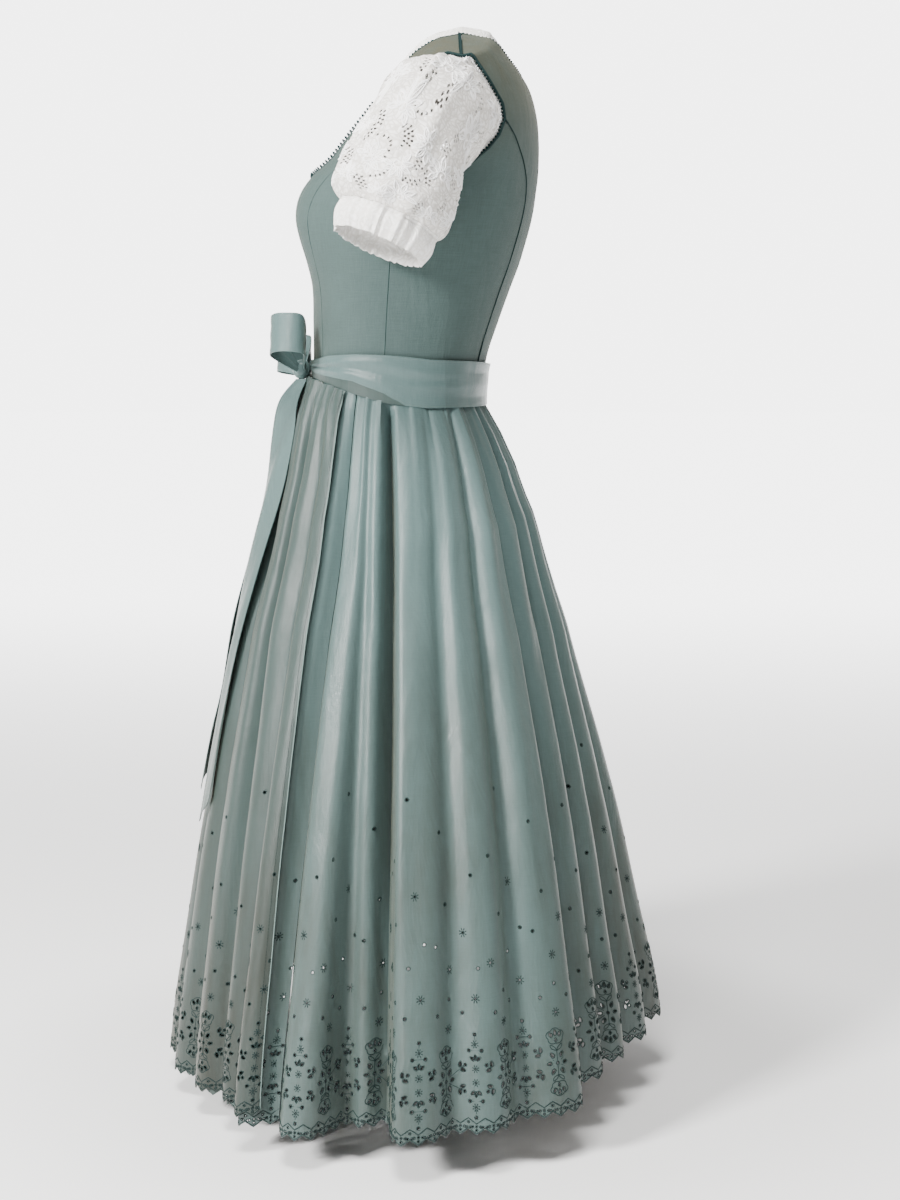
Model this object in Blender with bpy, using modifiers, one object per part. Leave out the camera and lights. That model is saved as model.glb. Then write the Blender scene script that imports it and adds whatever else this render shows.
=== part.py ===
"""A traditional dirndl: bodice, pleated skirt, apron with its tied belt, and the blouse worn under it.

Blender 4.5 script. It builds one closed solid for each sewn piece, in metres, with +Z up. The wearer
faces -Y and the wearer's left side is +X. The origin is where the shoulders carry the dress: midway
between the two straps, level with their highest point. Every cloth piece is an open surface with a
Solidify modifier; its points come from a few tables of sizes in millimetres, one row for each section
or fold.
"""

import math
from collections import namedtuple

import bpy
import numpy as np

MM = 0.001

# Driving sizes, in millimetres.
BODICE_WALL = 1.6
SKIRT_WALL = 1.2
BLOUSE_WALL = 1.0
RIBBON_WALL = 1.2
SEAM_GAP = 0.4
WAIST_HEIGHT = -348
WAIST_TILT = 8.5
HEM_HEIGHT = -1072
HEM_TILT = 19.0
APRON_SHORTER_AT_EDGE = 14.0
TOOTH_DEPTH = 6.0
STRAP_INNER = 78.0
SHOULDER_SLOPE = 0.48
ARMHOLE_BOTTOM = -157
BLOUSE_INSET = -3.4
BLOUSE_SHOULDER_INSET = -2.6
BAND_OUT = 2.3
TIE_OUT = 3.9
APRON_OUT = 5.0
GATHER_DEPTH = 2.2
GATHER_REACH = 0.16
APRON_RISE = 0.04
TORSO_POWER = 2.3
SKIRT_POWER = 2.1
SIDE_SEAM_DEG = 84.0

# The torso under the bodice: at each height, how far the section reaches in front and behind, where its
# sides lie and its half width. "cup" moves the fullness of the bust from the centre front to both sides.
Level = namedtuple("Level", "z front back centre half cup")
TORSO = (
    Level(0, 7, 7, 7, 148, 0),
    Level(-3.5, -19, 36, 6.5, 148, 0),
    Level(-11.5, -37, 49, 5, 147.5, 0),
    Level(-21, -51, 57, 4, 147, 0),
    Level(-34.5, -62, 68.5, 2, 148, 0),
    Level(-52, -76, 79.5, -4, 152, 0),
    Level(-77, -97, 86.5, -11, 157, 0),
    Level(-102, -118, 89, -18, 155, 2),
    Level(-127, -139, 89, -27, 150, 5),
    Level(-142, -156, 88, -32, 147, 8),
    Level(-157, -168, 86, -37, 146, 11),
    Level(-172, -174, 84, -41, 144.5, 12),
    Level(-189, -175, 80.5, -44, 142, 12),
    Level(-209, -170, 75, -47, 138.5, 10),
    Level(-232, -162, 68, -50, 133.5, 7),
    Level(-257, -155, 58.5, -53, 128, 4),
    Level(-292, -152, 46, -56.5, 122, 1),
    Level(-327, -151, 34.5, -59, 118.5, 0),
    Level(-362, -151.5, 29.5, -61, 118, 0),
    Level(-392, -152, 29, -61, 118.5, 0),
)
CUP_CENTRE = 78.0
CUP_SPREAD = 40.0

# The left armhole: the angles of its front and back edges round the torso, at each height.
ArmEdge = namedtuple("ArmEdge", "z front_deg back_deg")
ARMHOLE = (
    ArmEdge(0, 72.5, 107.5),
    ArmEdge(-5, 67, 105),
    ArmEdge(-13, 63, 106),
    ArmEdge(-23.5, 60, 107.7),
    ArmEdge(-36.5, 57.5, 111.5),
    ArmEdge(-52, 55.5, 117),
    ArmEdge(-72, 54.5, 124.5),
    ArmEdge(-88, 54.5, 126),
    ArmEdge(-104, 55.5, 123),
    ArmEdge(-118, 58, 117.5),
    ArmEdge(-130, 61.5, 111.5),
    ArmEdge(-140, 66, 106),
    ArmEdge(-149, 72, 99),
    ArmEdge(-154, 77, 93),
    ArmEdge(-157, 83.9, 84.1),
)

# Seams and edges as an angle at each height.
Edge = namedtuple("Edge", "z deg")
FRONT_SEAM = (
    Edge(-392, 33), Edge(-292, 34), Edge(-232, 36), Edge(-182, 38.5), Edge(-142, 43), Edge(-112, 48.5),
    Edge(-88, 54.5),
)
BACK_SEAM = (
    Edge(-392, 151.5), Edge(-242, 152), Edge(-167, 152.5), Edge(-137, 147), Edge(-108, 136), Edge(-88, 126),
)
NECKLINE = (
    Edge(-144, 0.1), Edge(-143, 10), Edge(-141, 19), Edge(-136, 25), Edge(-126, 28), Edge(-88, 28.5),
    Edge(-52, 29.5), Edge(-23.5, 31.5), Edge(-11.5, 31.5), Edge(0, 28.6),
)
BACK_NECK_DEPTH = -36.5

# The heights of the panels' rows, from the waist to the armhole and on to the shoulder seam, and how many
# columns each panel has.
SHOULDER_SEAM = -0.06
FRONT_HEIGHTS = (
    -339, -312, -277, -242, -214, -192, -174, -157, -154, -149, -144, -143, -141, -136, -126, -116, -104, -92,
)
BACK_HEIGHTS = (-356, -317, -277, -237, -202, -172, -157, -154, -149, -140, -130, -118, -104, -92)
STRAP_HEIGHTS = (-88, -72, -52, -36.5, -23.5, -11.5, -3.5, SHOULDER_SEAM)
NECK_SHARES = (1.0, 0.97, 0.89, 0.75, 0.55, 0.28)
FRONT_COLUMNS = 4
BACK_COLUMNS = 5

# The blouse.
BLOUSE_HEIGHTS = (-197, -174, -155, -140, -124, -104, -72, -52, -36.5, -23.5, -11.5, SHOULDER_SEAM)
BLOUSE_BOTTOM = BLOUSE_HEIGHTS[0]
BLOUSE_NECK_DEPTH = -100
BLOUSE_BACK_NECK_DEPTH = -26
BLOUSE_STRAP_INNER = 64.0
BLOUSE_ARMHOLE_INSET = 3.0
COLLAR_FRONT = 6.0
COLLAR_SIDE = 13.0
COLLAR_BACK = 9.0
COLLAR_IN = 1.3

# The belt: its top edge, its bottom edge, and the bottom edge of the outer tie, which narrows to the knot.
Belt = namedtuple("Belt", "deg top bottom tie_bottom")
BELT = (
    Belt(0, -333, -346, -339),
    Belt(15, -332, -349, -342),
    Belt(30, -330.5, -352.5, -346),
    Belt(45, -327.5, -357, -349),
    Belt(65, -326, -366, -353.5),
    Belt(85, -327, -374, -366),
    Belt(95, -329, -377, -377),
    Belt(108, -331.5, -379, -379),
    Belt(146, -333, -378.5, -378.5),
    Belt(180, -335, -377, -377),
)
BAND_END_DEG = 98.0
KNOT_DEG = 8.5
KNOT_TURN = 4.8
TIE_LEFT_END_DEG = 196.0
TIE_RIGHT_END_DEG = 168.0
TIE_LIFT = 1.7
TIE_LIFT_START_DEG = 140.0
TIE_LIFT_TURN = 20.0
TIE_LEFT_POINTS = 36
TIE_RIGHT_POINTS = 32
BAND_SHARES = (0.12, 0.5, 1.0)
TIE_SHARES = (0.0, 0.5, 1.0)

# The crests of the skirt between the belt (fall 0) and the hem (fall 1).
Fall = namedtuple("Fall", "fall front back centre half")
SKIRT = (
    Fall(0.0, -152, 29, -61, 118),
    Fall(0.035, -160, 44, -60, 131),
    Fall(0.09, -170, 62, -58, 148),
    Fall(0.18, -189, 87, -55, 172),
    Fall(0.35, -225, 124, -51, 213),
    Fall(0.60, -264, 172, -46, 270),
    Fall(0.80, -291, 206, -43, 309),
    Fall(1.0, -313, 237, -40, 345),
)
APRON_ROWS = (0.0, 0.03, 0.08, 0.16, 0.30, 0.52, 0.76, 1.0)
APRON_EDGE_DEG = 56.0
APRON_EDGE_U_AT_WAIST = 0.55
APRON_EDGE_U_AT_HEM = 0.75
SKIRT_ROWS = (0.0, 0.04, 0.11, 0.25, 0.5, 0.75, 1.0)

# The left half's folds, from the centre front to the centre back: where each lies at the waist and at the
# hem, how deep it is at the hem, which side of it is steep (1 towards the back, -1 towards the front), and
# how far the crest behind it stands out at the hem, and how soon it deepens (sooner under 1).
Fold = namedtuple("Fold", "waist_deg hem_deg depth lean crest growth")
FOLDS = (
    Fold(6, 7, 22, 0.0, -8, 0.9),
    Fold(18, 21, 36, 0.3, -22, 1.1),
    Fold(32, 34.5, 46, -0.2, -24, 0.6),
    Fold(50, 47, 44, 0.6, -2, 1.3),
    Fold(67, 58, 32, 0.5, 2, 0.55),
    Fold(78, 74.5, 52, -0.3, -38, 1.6),
    Fold(88, 84, 56, 0.9, 8, 0.45),
    Fold(107, 98, 15, 0.0, 0, 0.7),
    Fold(123.5, 112, 20, -0.2, 0, 0.5),
    Fold(138, 130, 58, -0.9, -34, 1.2),
    Fold(151, 144, 62, -0.8, -34, 0.6),
    Fold(162, 156, 62, -0.7, -20, 0.8),
    Fold(173, 172, 40, -0.3, 0, 0.7),
)
CENTRE_CREST = 0.0
WAVE_STEPS = (0.0, 0.1, 0.3, 0.65, 0.9)
FOLD_DEPTH_AT_WAIST = 2.6
FOLD_WIDTH_AT_WAIST = 0.17
FOLD_WIDTH_AT_HEM = 0.27
CREST_GROWTH = 1.5
SEAM_U_AT_WAIST = 0.03
SEAM_U_AT_HEM = 0.014
FRONT_FOLD = 4
BACK_FOLD = 10
RIGHT_SIDE_SHIFT_DEG = 1.6
FOLD_SWING = 0.6
STEEPNESS = 0.6
ROUND_BELOW = 0.25

# The left sleeve's rings: the turn from sideways (0) to down the arm (90), the centre, the two radii, how
# far the ring stays off the torso and how strongly it is gathered.
Ring = namedtuple("Ring", "turn_deg x y z outer side clear gather")
SLEEVE = (
    Ring(12, 155, -20, -90, 61, 59, 5, 0.2),
    Ring(34, 168, -28, -103, 62, 54, 14, 0.3),
    Ring(54, 181, -40, -122, 60, 53, 17, 0.4),
    Ring(69, 190, -53, -155, 55, 59, 14, 0.6),
    Ring(78, 195, -62, -178, 53, 59, 12, 0.9),
    Ring(80, 197, -64, -189, 48, 54, 9, 1),
    Ring(80, 198, -64, -194, 44, 49, 9, 1),
)
CUFF = (
    Ring(80, 198, -64.2, -194.5, 44, 49, 9, 1),
    Ring(80, 199, -67, -200, 46, 49, 8.5, 1),
    Ring(80, 200, -71, -209, 48, 49, 8, 1),
    Ring(80, 201, -76, -221, 43.5, 44, 8, 1),
)
# Where the sleeve's first two rows lie: how far inside the armhole, and how far out from the torso.
SLEEVE_ROOT = ((5.4, -3.0), (7.2, 2.5))
ARM_DOWN = np.array((0.0, -0.39, -0.921))
SLEEVE_POINTS = 24
SLEEVE_GATHER = 2.6

# The bow's left loop and its tails, as points from the knot's centre; the ribbon's half width at each.
KNOT_CENTRE = np.array((22.0, -163.6, -342.0))
KNOT_RADII = (10.0, 9.0, 10.0)
KNOT_RIDGE = 0.06
RibbonPoint = namedtuple("RibbonPoint", "x y z half")
LOOP = (
    RibbonPoint(9.8, -3.6, 3, 6),
    RibbonPoint(22, -19, 20, 15),
    RibbonPoint(40, -29, 33, 21),
    RibbonPoint(57, -25, 38, 22),
    RibbonPoint(66, -11, 39, 22),
    RibbonPoint(60, 4, 37, 22),
    RibbonPoint(42, 7, 28, 17),
    RibbonPoint(24, 4, 13, 10),
    RibbonPoint(9.8, 3.6, 3, 5),
)
LOOP_TILT_DEG = 25.0
RIGHT_LOOP_DROP = 24.0
RIGHT_LOOP_TILT_DEG = -4.0
Tail = namedtuple("Tail", "z x half inner_out outer_out")
TAIL = (
    Tail(-352.3, 6, 5, 0, 0),
    Tail(-377, 17, 14, 14, 5),
    Tail(-412, 22, 19, 15, 3),
    Tail(-472, 25, 22, 13, 1.5),
    Tail(-552, 27, 22, 11, 1),
    Tail(-632, 29, 22, 9, 1),
    Tail(-712, 31, 22, 8, 1),
    Tail(-767, 33, 22, 8, 1),
    Tail(-798, 34, 22, 9, 2),
)
TAIL_TIP = 34.0
TAIL_SUPPORT = 14.0
RIGHT_TAIL_SCALE = 0.93


def interpolate(rows, column, at, key=0):
    """A column of a table at a value of its key column, straight between the rows."""
    pairs = sorted((row[key], getattr(row, column)) for row in rows)
    return float(np.interp(at, [p[0] for p in pairs], [p[1] for p in pairs]))


def smooth(rows, column, index):
    """A column of a table at a fractional row number, on a cubic through the rows."""
    last = len(rows) - 1
    low = int(min(max(math.floor(index), 0), last - 1))
    u = index - low
    before, start, end, after = (getattr(rows[min(max(k, 0), last)], column) for k in range(low - 1, low + 3))
    slope_in = (end - before) / 2
    slope_out = (after - start) / 2
    bend = 2 * (start - end) + slope_in + slope_out
    return start + u * (slope_in + u * (end - start - slope_in - bend + u * bend))


def row_number(rows, column, value):
    """The fractional row number at which a falling or rising column has that value."""
    values = [getattr(row, column) for row in rows]
    if values[0] > values[-1]:
        return float(np.interp(-value, [-v for v in values], range(len(values))))
    return float(np.interp(value, values, range(len(values))))


def wrapped(deg):
    """The same direction as an angle from -180 to 180."""
    return (deg + 180) % 360 - 180


def section_point(deg, front, back, centre, half, power):
    """(x, y) on a rounded section; deg 0 is the centre front, 90 the left side and 180 the centre back."""
    angle = math.radians(deg)
    side = abs(math.sin(angle)) ** (2 / power)
    depth = abs(math.cos(angle)) ** (2 / power)
    reach = front if math.cos(angle) > 0 else back
    return math.copysign(half * side, math.sin(angle)), centre + (reach - centre) * depth


# ---- the torso's surface ----

def torso_point(deg, level):
    """A point of the torso at a row number of TORSO; a negative one lies over the shoulder, on the back."""
    if level < 0:
        deg = math.copysign(180, deg) - deg
        level = -level
    values = {name: smooth(TORSO, name, level) for name in Level._fields}
    is_front = math.cos(math.radians(deg)) > 0
    cup = values["cup"] if is_front else 0.0
    front = values["front"] + cup
    x, y = section_point(deg, front, values["back"], values["centre"], values["half"], TORSO_POWER)
    y -= cup * math.exp(-(((abs(x) - CUP_CENTRE) / CUP_SPREAD) ** 2))
    fade = 1 - min(1.0, level / row_number(TORSO, "z", ARMHOLE_BOTTOM))
    drop = SHOULDER_SLOPE * max(0.0, abs(x) - STRAP_INNER) * fade * fade
    return np.array((x, y, values["z"] - drop))


def on_torso(deg, z, out=0.0):
    """The point of the torso at an angle and a height, moved out along the surface's normal."""
    deg = wrapped(deg)
    level = row_number(TORSO, "z", z)
    along = torso_point(deg + 0.6, level) - torso_point(deg - 0.6, level)
    down = torso_point(deg, level + 0.06) - torso_point(deg, level - 0.06)
    normal = np.cross(down, along)
    point = torso_point(deg, level)
    return point + out * normal / np.linalg.norm(normal)


def turn_for(distance, deg, z):
    """The turn in degrees that moves a point of the torso this far round it."""
    level = row_number(TORSO, "z", z)
    step = 0.5
    return distance * step / np.linalg.norm(torso_point(deg + step, level) - torso_point(deg, level))


def waist_height(deg):
    return WAIST_HEIGHT + WAIST_TILT * math.cos(math.radians(deg))


def belt_height(deg, edge):
    return interpolate(BELT, edge, abs(wrapped(deg)))


def edge_angle(rows, z):
    return interpolate(rows, "deg", z)


def armhole_angle(side, z, inset=0.0):
    """The armhole's front or back edge at a height, moved into the hole by inset."""
    deg = interpolate(ARMHOLE, side, z)
    turn = turn_for(inset, deg, z)
    return deg + (turn if side == "front_deg" else -turn)


# ---- making objects ----

def clear_scene():
    for obj in list(bpy.data.objects):
        bpy.data.objects.remove(obj, do_unlink=True)


def make_material(name, colour, roughness):
    material = bpy.data.materials.new(name)
    material.use_nodes = True
    shader = material.node_tree.nodes["Principled BSDF"]
    shader.inputs["Base Color"].default_value = (*colour, 1.0)
    shader.inputs["Roughness"].default_value = roughness
    material.diffuse_color = (*colour, 1.0)
    return material


def add_object(name, data, material):
    obj = bpy.data.objects.new(name, data)
    obj.data.materials.append(material)
    GARMENT.objects.link(obj)
    return obj


def cloth(name, rows, thickness, material, wrap=False, teeth=0.0):
    """One piece of cloth: a grid of points given a thickness, with teeth on its last row or none."""
    rows = [np.asarray(row, float) for row in rows]
    width = len(rows[0])
    points = [p for row in rows for p in row]
    spans = range(width if wrap else width - 1)
    faces = []
    for i in range(len(rows) - 1):
        for j in spans:
            k = (j + 1) % width
            faces.append((i * width + j, (i + 1) * width + j, (i + 1) * width + k, i * width + k))
    if teeth:
        last = (len(rows) - 1) * width
        for j in spans:
            k = (j + 1) % width
            middle = (rows[-1][j] + rows[-1][k]) / 2
            down = middle - (rows[-2][j] + rows[-2][k]) / 2
            points.append(middle + teeth * down / np.linalg.norm(down))
            faces.append((last + j, len(points) - 1, last + k))
    mesh = bpy.data.meshes.new(name)
    mesh.from_pydata([tuple(p * MM) for p in points], [], faces)
    mesh.shade_smooth()
    obj = add_object(name, mesh, material)
    shell = obj.modifiers.new("thickness", "SOLIDIFY")
    shell.thickness = thickness * MM
    shell.offset = 0.0
    return obj


def mirrored(rows):
    """The same rows on the other side of the body, in reverse order so that the faces still point out."""
    flip = np.array((-1.0, 1.0, 1.0))
    return [[p * flip for p in reversed(row)] for row in rows]


# ---- bodice ----

def strip(heights, start, end, columns):
    """Rows of points between two edges, each an angle at a height; the first row follows the waist seam."""
    rows = []
    for z in heights:
        first = start(z) + turn_for(SEAM_GAP / 2, start(z), z)
        last = end(z) - turn_for(SEAM_GAP / 2, end(z), z)
        angles = np.linspace(first, last, columns + 1)
        rows.append([on_torso(a, waist_height(a) if z == heights[0] else z) for a in angles])
    return rows


def front_centre_rows():
    def inner(z):
        return edge_angle(NECKLINE, z) if z > NECKLINE[0].z else 0.0

    def outer(z):
        return edge_angle(FRONT_SEAM, z) if z < FRONT_SEAM[-1].z else armhole_angle("front_deg", z)

    return strip(FRONT_HEIGHTS + STRAP_HEIGHTS, inner, outer, FRONT_COLUMNS)


def front_side_rows():
    def outer(z):
        return armhole_angle("front_deg", z) if z > ARMHOLE_BOTTOM else SIDE_SEAM_DEG

    return strip(FRONT_HEIGHTS, lambda z: edge_angle(FRONT_SEAM, z), outer, FRONT_COLUMNS)


def back_side_rows():
    def inner(z):
        return armhole_angle("back_deg", z) if z > ARMHOLE_BOTTOM else SIDE_SEAM_DEG

    return strip(BACK_HEIGHTS, inner, lambda z: edge_angle(BACK_SEAM, z), BACK_COLUMNS)


def neck_dip(share, strap_share, depth):
    """How far below the shoulder the top edge lies: nothing along the strap, then a curve to the middle."""
    return depth * (1 - (share / strap_share) ** 2) if share < strap_share else 0.0


def shares_across(strap_share):
    """The places of the columns across a front or back, armhole to armhole, with one at each strap's edge."""
    half = [1.0, 0.5 + 0.5 * strap_share] + [share * strap_share for share in NECK_SHARES]
    return half + [0.0] + [-share for share in reversed(half)]


def back_centre_rows():
    """The whole back between the two curved seams, from the waist to the shoulders and the neckline."""
    half_at_shoulder = 180 - ARMHOLE[0].back_deg
    strap_deg = math.degrees(math.asin((STRAP_INNER / TORSO[0].half) ** (TORSO_POWER / 2)))
    strap_share = strap_deg / half_at_shoulder
    rows = []
    for z in BACK_HEIGHTS + STRAP_HEIGHTS:
        edge = edge_angle(BACK_SEAM, z) if z < BACK_SEAM[-1].z else armhole_angle("back_deg", z)
        half = 180 - edge - turn_for(SEAM_GAP / 2, edge, z)
        row = []
        for share in shares_across(strap_share):
            angle = 180 - share * half
            top = neck_dip(abs(share), strap_share, BACK_NECK_DEPTH)
            height = top + z * (BACK_HEIGHTS[0] - top) / BACK_HEIGHTS[0]
            row.append(on_torso(angle, waist_height(angle) if z == BACK_HEIGHTS[0] else height))
        rows.append(row)
    return rows


def build_bodice(linen):
    pieces = {
        "bodice_front_centre": front_centre_rows(),
        "bodice_front_side": front_side_rows(),
        "bodice_back_side": back_side_rows(),
    }
    for name, rows in pieces.items():
        cloth(name + "_left", rows, BODICE_WALL, linen)
        cloth(name + "_right", mirrored(rows), BODICE_WALL, linen)
    cloth("bodice_back_centre", back_centre_rows(), BODICE_WALL, linen)


# ---- skirt and apron ----

def folds_all_round():
    """The folds from the right of the centre back round the front to the left of the centre back."""
    crests = [CENTRE_CREST] + [f.crest for f in FOLDS[:-1]]
    right = [
        Fold(-f.waist_deg, -f.hem_deg, f.depth, -f.lean, crest, f.growth)
        for f, crest in zip(FOLDS, crests)
    ]
    return right[::-1] + list(FOLDS)


def fold_angle(fold, share):
    """Where a fold lies at a share of the fall; those on the right lie a little further round."""
    sideways = min(0.0, math.sin(math.radians(fold.waist_deg)))
    swing = (fold.hem_deg - fold.waist_deg) * share**FOLD_SWING
    return fold.waist_deg + swing + RIGHT_SIDE_SHIFT_DEG * share * sideways


def wave_angle(wave, u, share):
    """The angle at u between fold number wave (u = 0) and the next fold (u = 1)."""
    folds = folds_all_round()
    start = fold_angle(folds[wave % len(folds)], share)
    end = fold_angle(folds[(wave + 1) % len(folds)], share)
    end += 360 if end < start else 0
    return start + (end - start) * u


def fold_inset(wave, u, share):
    """How far the cloth lies inside the base line: in full at the folds, and at the crest's line between."""
    folds = folds_all_round()
    near, far = folds[wave % len(folds)], folds[(wave + 1) % len(folds)]
    crest = -near.crest * share**CREST_GROWTH
    depths = [FOLD_DEPTH_AT_WAIST + (f.depth - FOLD_DEPTH_AT_WAIST) * share**f.growth for f in (near, far)]
    width = FOLD_WIDTH_AT_WAIST + (FOLD_WIDTH_AT_HEM - FOLD_WIDTH_AT_WAIST) * share
    near_share = math.exp(-((u / (width * (1 - STEEPNESS * near.lean))) ** 2))
    far_share = math.exp(-(((1 - u) / (width * (1 + STEEPNESS * far.lean))) ** 2))
    return crest + (depths[0] - crest) * near_share + (depths[1] - crest) * far_share


def skirt_height(deg, share):
    top = belt_height(deg, "bottom")
    hem = HEM_HEIGHT - HEM_TILT * math.cos(math.radians(deg))
    return top + (hem - top) * share


def skirt_point(wave, u, share, out=0.0):
    """A point of the skirt's wall at a place in a wave and a share of the fall, moved out from it."""
    deg = wave_angle(wave, u, share)
    index = row_number(SKIRT, "fall", share)
    front, back, centre, half = (smooth(SKIRT, name, index) for name in ("front", "back", "centre", "half"))
    power = TORSO_POWER + (SKIRT_POWER - TORSO_POWER) * min(1.0, share / ROUND_BELOW)
    x, y = section_point(deg, front, back, centre, half, power)
    away = np.array((x, y - centre))
    away /= np.linalg.norm(away)
    x, y = np.array((x, y)) + away * (out - fold_inset(wave, u, share) - SKIRT_WALL / 4)
    return np.array((x, y, skirt_height(deg, share)))


def under_belt_point(wave, u):
    """A point of the skirt's top edge, on the waist seam, where the belt holds the pleats flat."""
    deg = wave_angle(wave, u, 0.0)
    return on_torso(deg, waist_height(deg) - SEAM_GAP, -SKIRT_WALL / 4 - fold_inset(wave, u, 0.0))


def wave_columns(first, last, share):
    """(wave, u) for each column between two folds at a share of the fall, just clear of those folds."""
    gap = SEAM_U_AT_WAIST + (SEAM_U_AT_HEM - SEAM_U_AT_WAIST) * share
    columns = [(wave, u) for wave in range(first, last) for u in WAVE_STEPS] + [(last - 1, 1.0)]
    columns[0] = (first, gap)
    columns[-1] = (last - 1, 1 - gap)
    return columns


def build_skirt(satin):
    middle = len(FOLDS)
    panels = {
        "skirt_front": (middle - 1 - FRONT_FOLD, middle + FRONT_FOLD),
        "skirt_left": (middle + FRONT_FOLD, middle + BACK_FOLD),
        "skirt_back": (middle + BACK_FOLD, 3 * middle - 1 - BACK_FOLD),
        "skirt_right": (middle - 1 - BACK_FOLD, middle - 1 - FRONT_FOLD),
    }
    for name, (first, last) in panels.items():
        rows = [[under_belt_point(wave, u) for wave, u in wave_columns(first, last, 0.0)]]
        for share in SKIRT_ROWS:
            rows.append([skirt_point(wave, u, share) for wave, u in wave_columns(first, last, share)])
        cloth(name, rows, SKIRT_WALL, satin, teeth=TOOTH_DEPTH)


def apron_point(wave, u, share, gathered=False):
    """A point of the apron, which lies on the skirt's front; small gathers stand out of it below the band."""
    gather = GATHER_DEPTH * max(0.0, 1 - share / GATHER_REACH) if gathered else 0.0
    out = BAND_OUT + (APRON_OUT - BAND_OUT) * min(1.0, share / APRON_RISE)
    point = skirt_point(wave, u, share, out + gather + SKIRT_WALL / 4)
    edge_turn = (wave_angle(wave, u, share) / APRON_EDGE_DEG) ** 2
    point[2] += APRON_SHORTER_AT_EDGE * share * edge_turn - 2 * SEAM_GAP * (1 - share)
    return point


def apron_columns(share):
    """(wave, u) for each column of the apron, whose side edges lie part way along the outermost waves."""
    middle = len(FOLDS)
    edge_u = APRON_EDGE_U_AT_WAIST + (APRON_EDGE_U_AT_HEM - APRON_EDGE_U_AT_WAIST) * share
    inner = [(wave, u) for wave in range(middle - FRONT_FOLD, middle + FRONT_FOLD - 1) for u in WAVE_STEPS]
    steps = [edge_u * k / 3 for k in range(4)]
    left = [(middle + FRONT_FOLD - 1, u) for u in steps]
    right = [(middle - 1 - FRONT_FOLD, 1 - u) for u in reversed(steps[1:])]
    return right + inner + left


def build_apron(satin):
    rows = []
    for share in APRON_ROWS:
        columns = enumerate(apron_columns(share))
        rows.append([apron_point(wave, u, share, k % 2 == 1) for k, (wave, u) in columns])
    cloth("apron_panel", rows, SKIRT_WALL, satin, teeth=TOOTH_DEPTH)


# ---- belt and bow ----

def belt_rows(angles, bottom, out, shares):
    """Rows round the waist from the belt's top edge to one of its bottom edges."""
    def height(deg, share):
        return belt_height(deg, "top") * (1 - share) + belt_height(deg, bottom) * share

    return [[on_torso(a, height(a, share), out(a)) for a in angles] for share in shares]


def tie_out(deg, lift):
    """How far out a tie lies; behind, it is lifted off the other one, which it crosses there."""
    return TIE_OUT + lift * max(0.0, min(1.0, (abs(deg) - TIE_LIFT_START_DEG) / TIE_LIFT_TURN))


def build_belt(satin):
    half = [wave_angle(wave, u, 0.0) for wave, u in apron_columns(0.0)][::2]
    ends = np.linspace(half[-1], BAND_END_DEG, 8)[1:]
    angles = [*(-ends[::-1]), *half, *ends]
    cloth("apron_band", belt_rows(angles, "bottom", lambda a: BAND_OUT, BAND_SHARES), RIBBON_WALL, satin)
    left = np.linspace(KNOT_DEG + KNOT_TURN, TIE_LEFT_END_DEG, TIE_LEFT_POINTS)
    right = np.linspace(-TIE_RIGHT_END_DEG, KNOT_DEG - KNOT_TURN, TIE_RIGHT_POINTS)
    for name, angles, lift in (("tie_left", left, TIE_LIFT), ("tie_right", right, 0.0)):
        rows = belt_rows(angles, "tie_bottom", lambda a: tie_out(a, lift), TIE_SHARES)
        cloth(name, rows, RIBBON_WALL, satin)


def spline_through(points, steps):
    """Points on a smooth curve through the given ones."""
    points = np.asarray(points, float)
    padded = np.vstack((2 * points[0] - points[1], points, 2 * points[-1] - points[-2]))
    made = []
    for k in range(len(points) - 1):
        a, b, c, d = padded[k : k + 4]
        for u in np.linspace(0, 1, steps, endpoint=False):
            bend = 2 * a - 5 * b + 4 * c - d
            twist = 3 * b - a - 3 * c + d
            made.append(b + 0.5 * u * (c - a + u * (bend + u * twist)))
    return np.array([*made, points[-1]])


def build_loop(name, side, drop, tilt_deg, satin):
    """One loop of the bow: a ribbon that leaves the knot, turns and comes back to it."""
    path = spline_through([(p.x, p.y, p.z, p.half) for p in LOOP], 2)
    tilt = math.radians(tilt_deg)
    across = np.array((side * math.sin(tilt), 0, -math.cos(tilt)))
    reach = max(p.x for p in LOOP)
    rows = []
    for share in (-1.0, 0.0, 1.0):
        rows.append([
            KNOT_CENTRE + np.array((side * x, y, z - drop * x / reach)) + across * share * half
            for x, y, z, half in path
        ])
    if side > 0:
        rows.reverse()
    cloth(name, rows, RIBBON_WALL, satin)


def build_knot(satin):
    """The knot: the ribbon wrapped once round itself, as a rounded, slightly ridged solid."""
    bpy.ops.mesh.primitive_uv_sphere_add(segments=16, ring_count=9, radius=1.0)
    knot = bpy.context.object
    knot.name = "bow_knot"
    knot.data.name = "bow_knot"
    for vertex in knot.data.vertices:
        direction = np.array(vertex.co)
        turn = math.atan2(direction[1], direction[0])
        ridge = 1 + KNOT_RIDGE * math.cos(3 * turn) * (1 - direction[2] ** 2)
        vertex.co = (KNOT_CENTRE + direction * np.array(KNOT_RADII) * ridge) * MM
    knot.data.shade_smooth()
    knot.data.materials.append(satin)
    for collection in list(knot.users_collection):
        collection.objects.unlink(knot)
    GARMENT.objects.link(knot)


def apron_front(x, z):
    """How far forward the apron reaches near a place on its front."""
    share = (z - skirt_height(0, 0)) / (skirt_height(0, 1) - skirt_height(0, 0))
    middle = len(FOLDS)
    near = []
    for wave in range(middle - 4, middle + 3):
        for u in np.linspace(0, 1, 9):
            point = apron_point(wave, u, max(0.0, share), True)
            if abs(point[0] - x) < TAIL_SUPPORT:
                near.append(point[1])
    return min(near)


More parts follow.
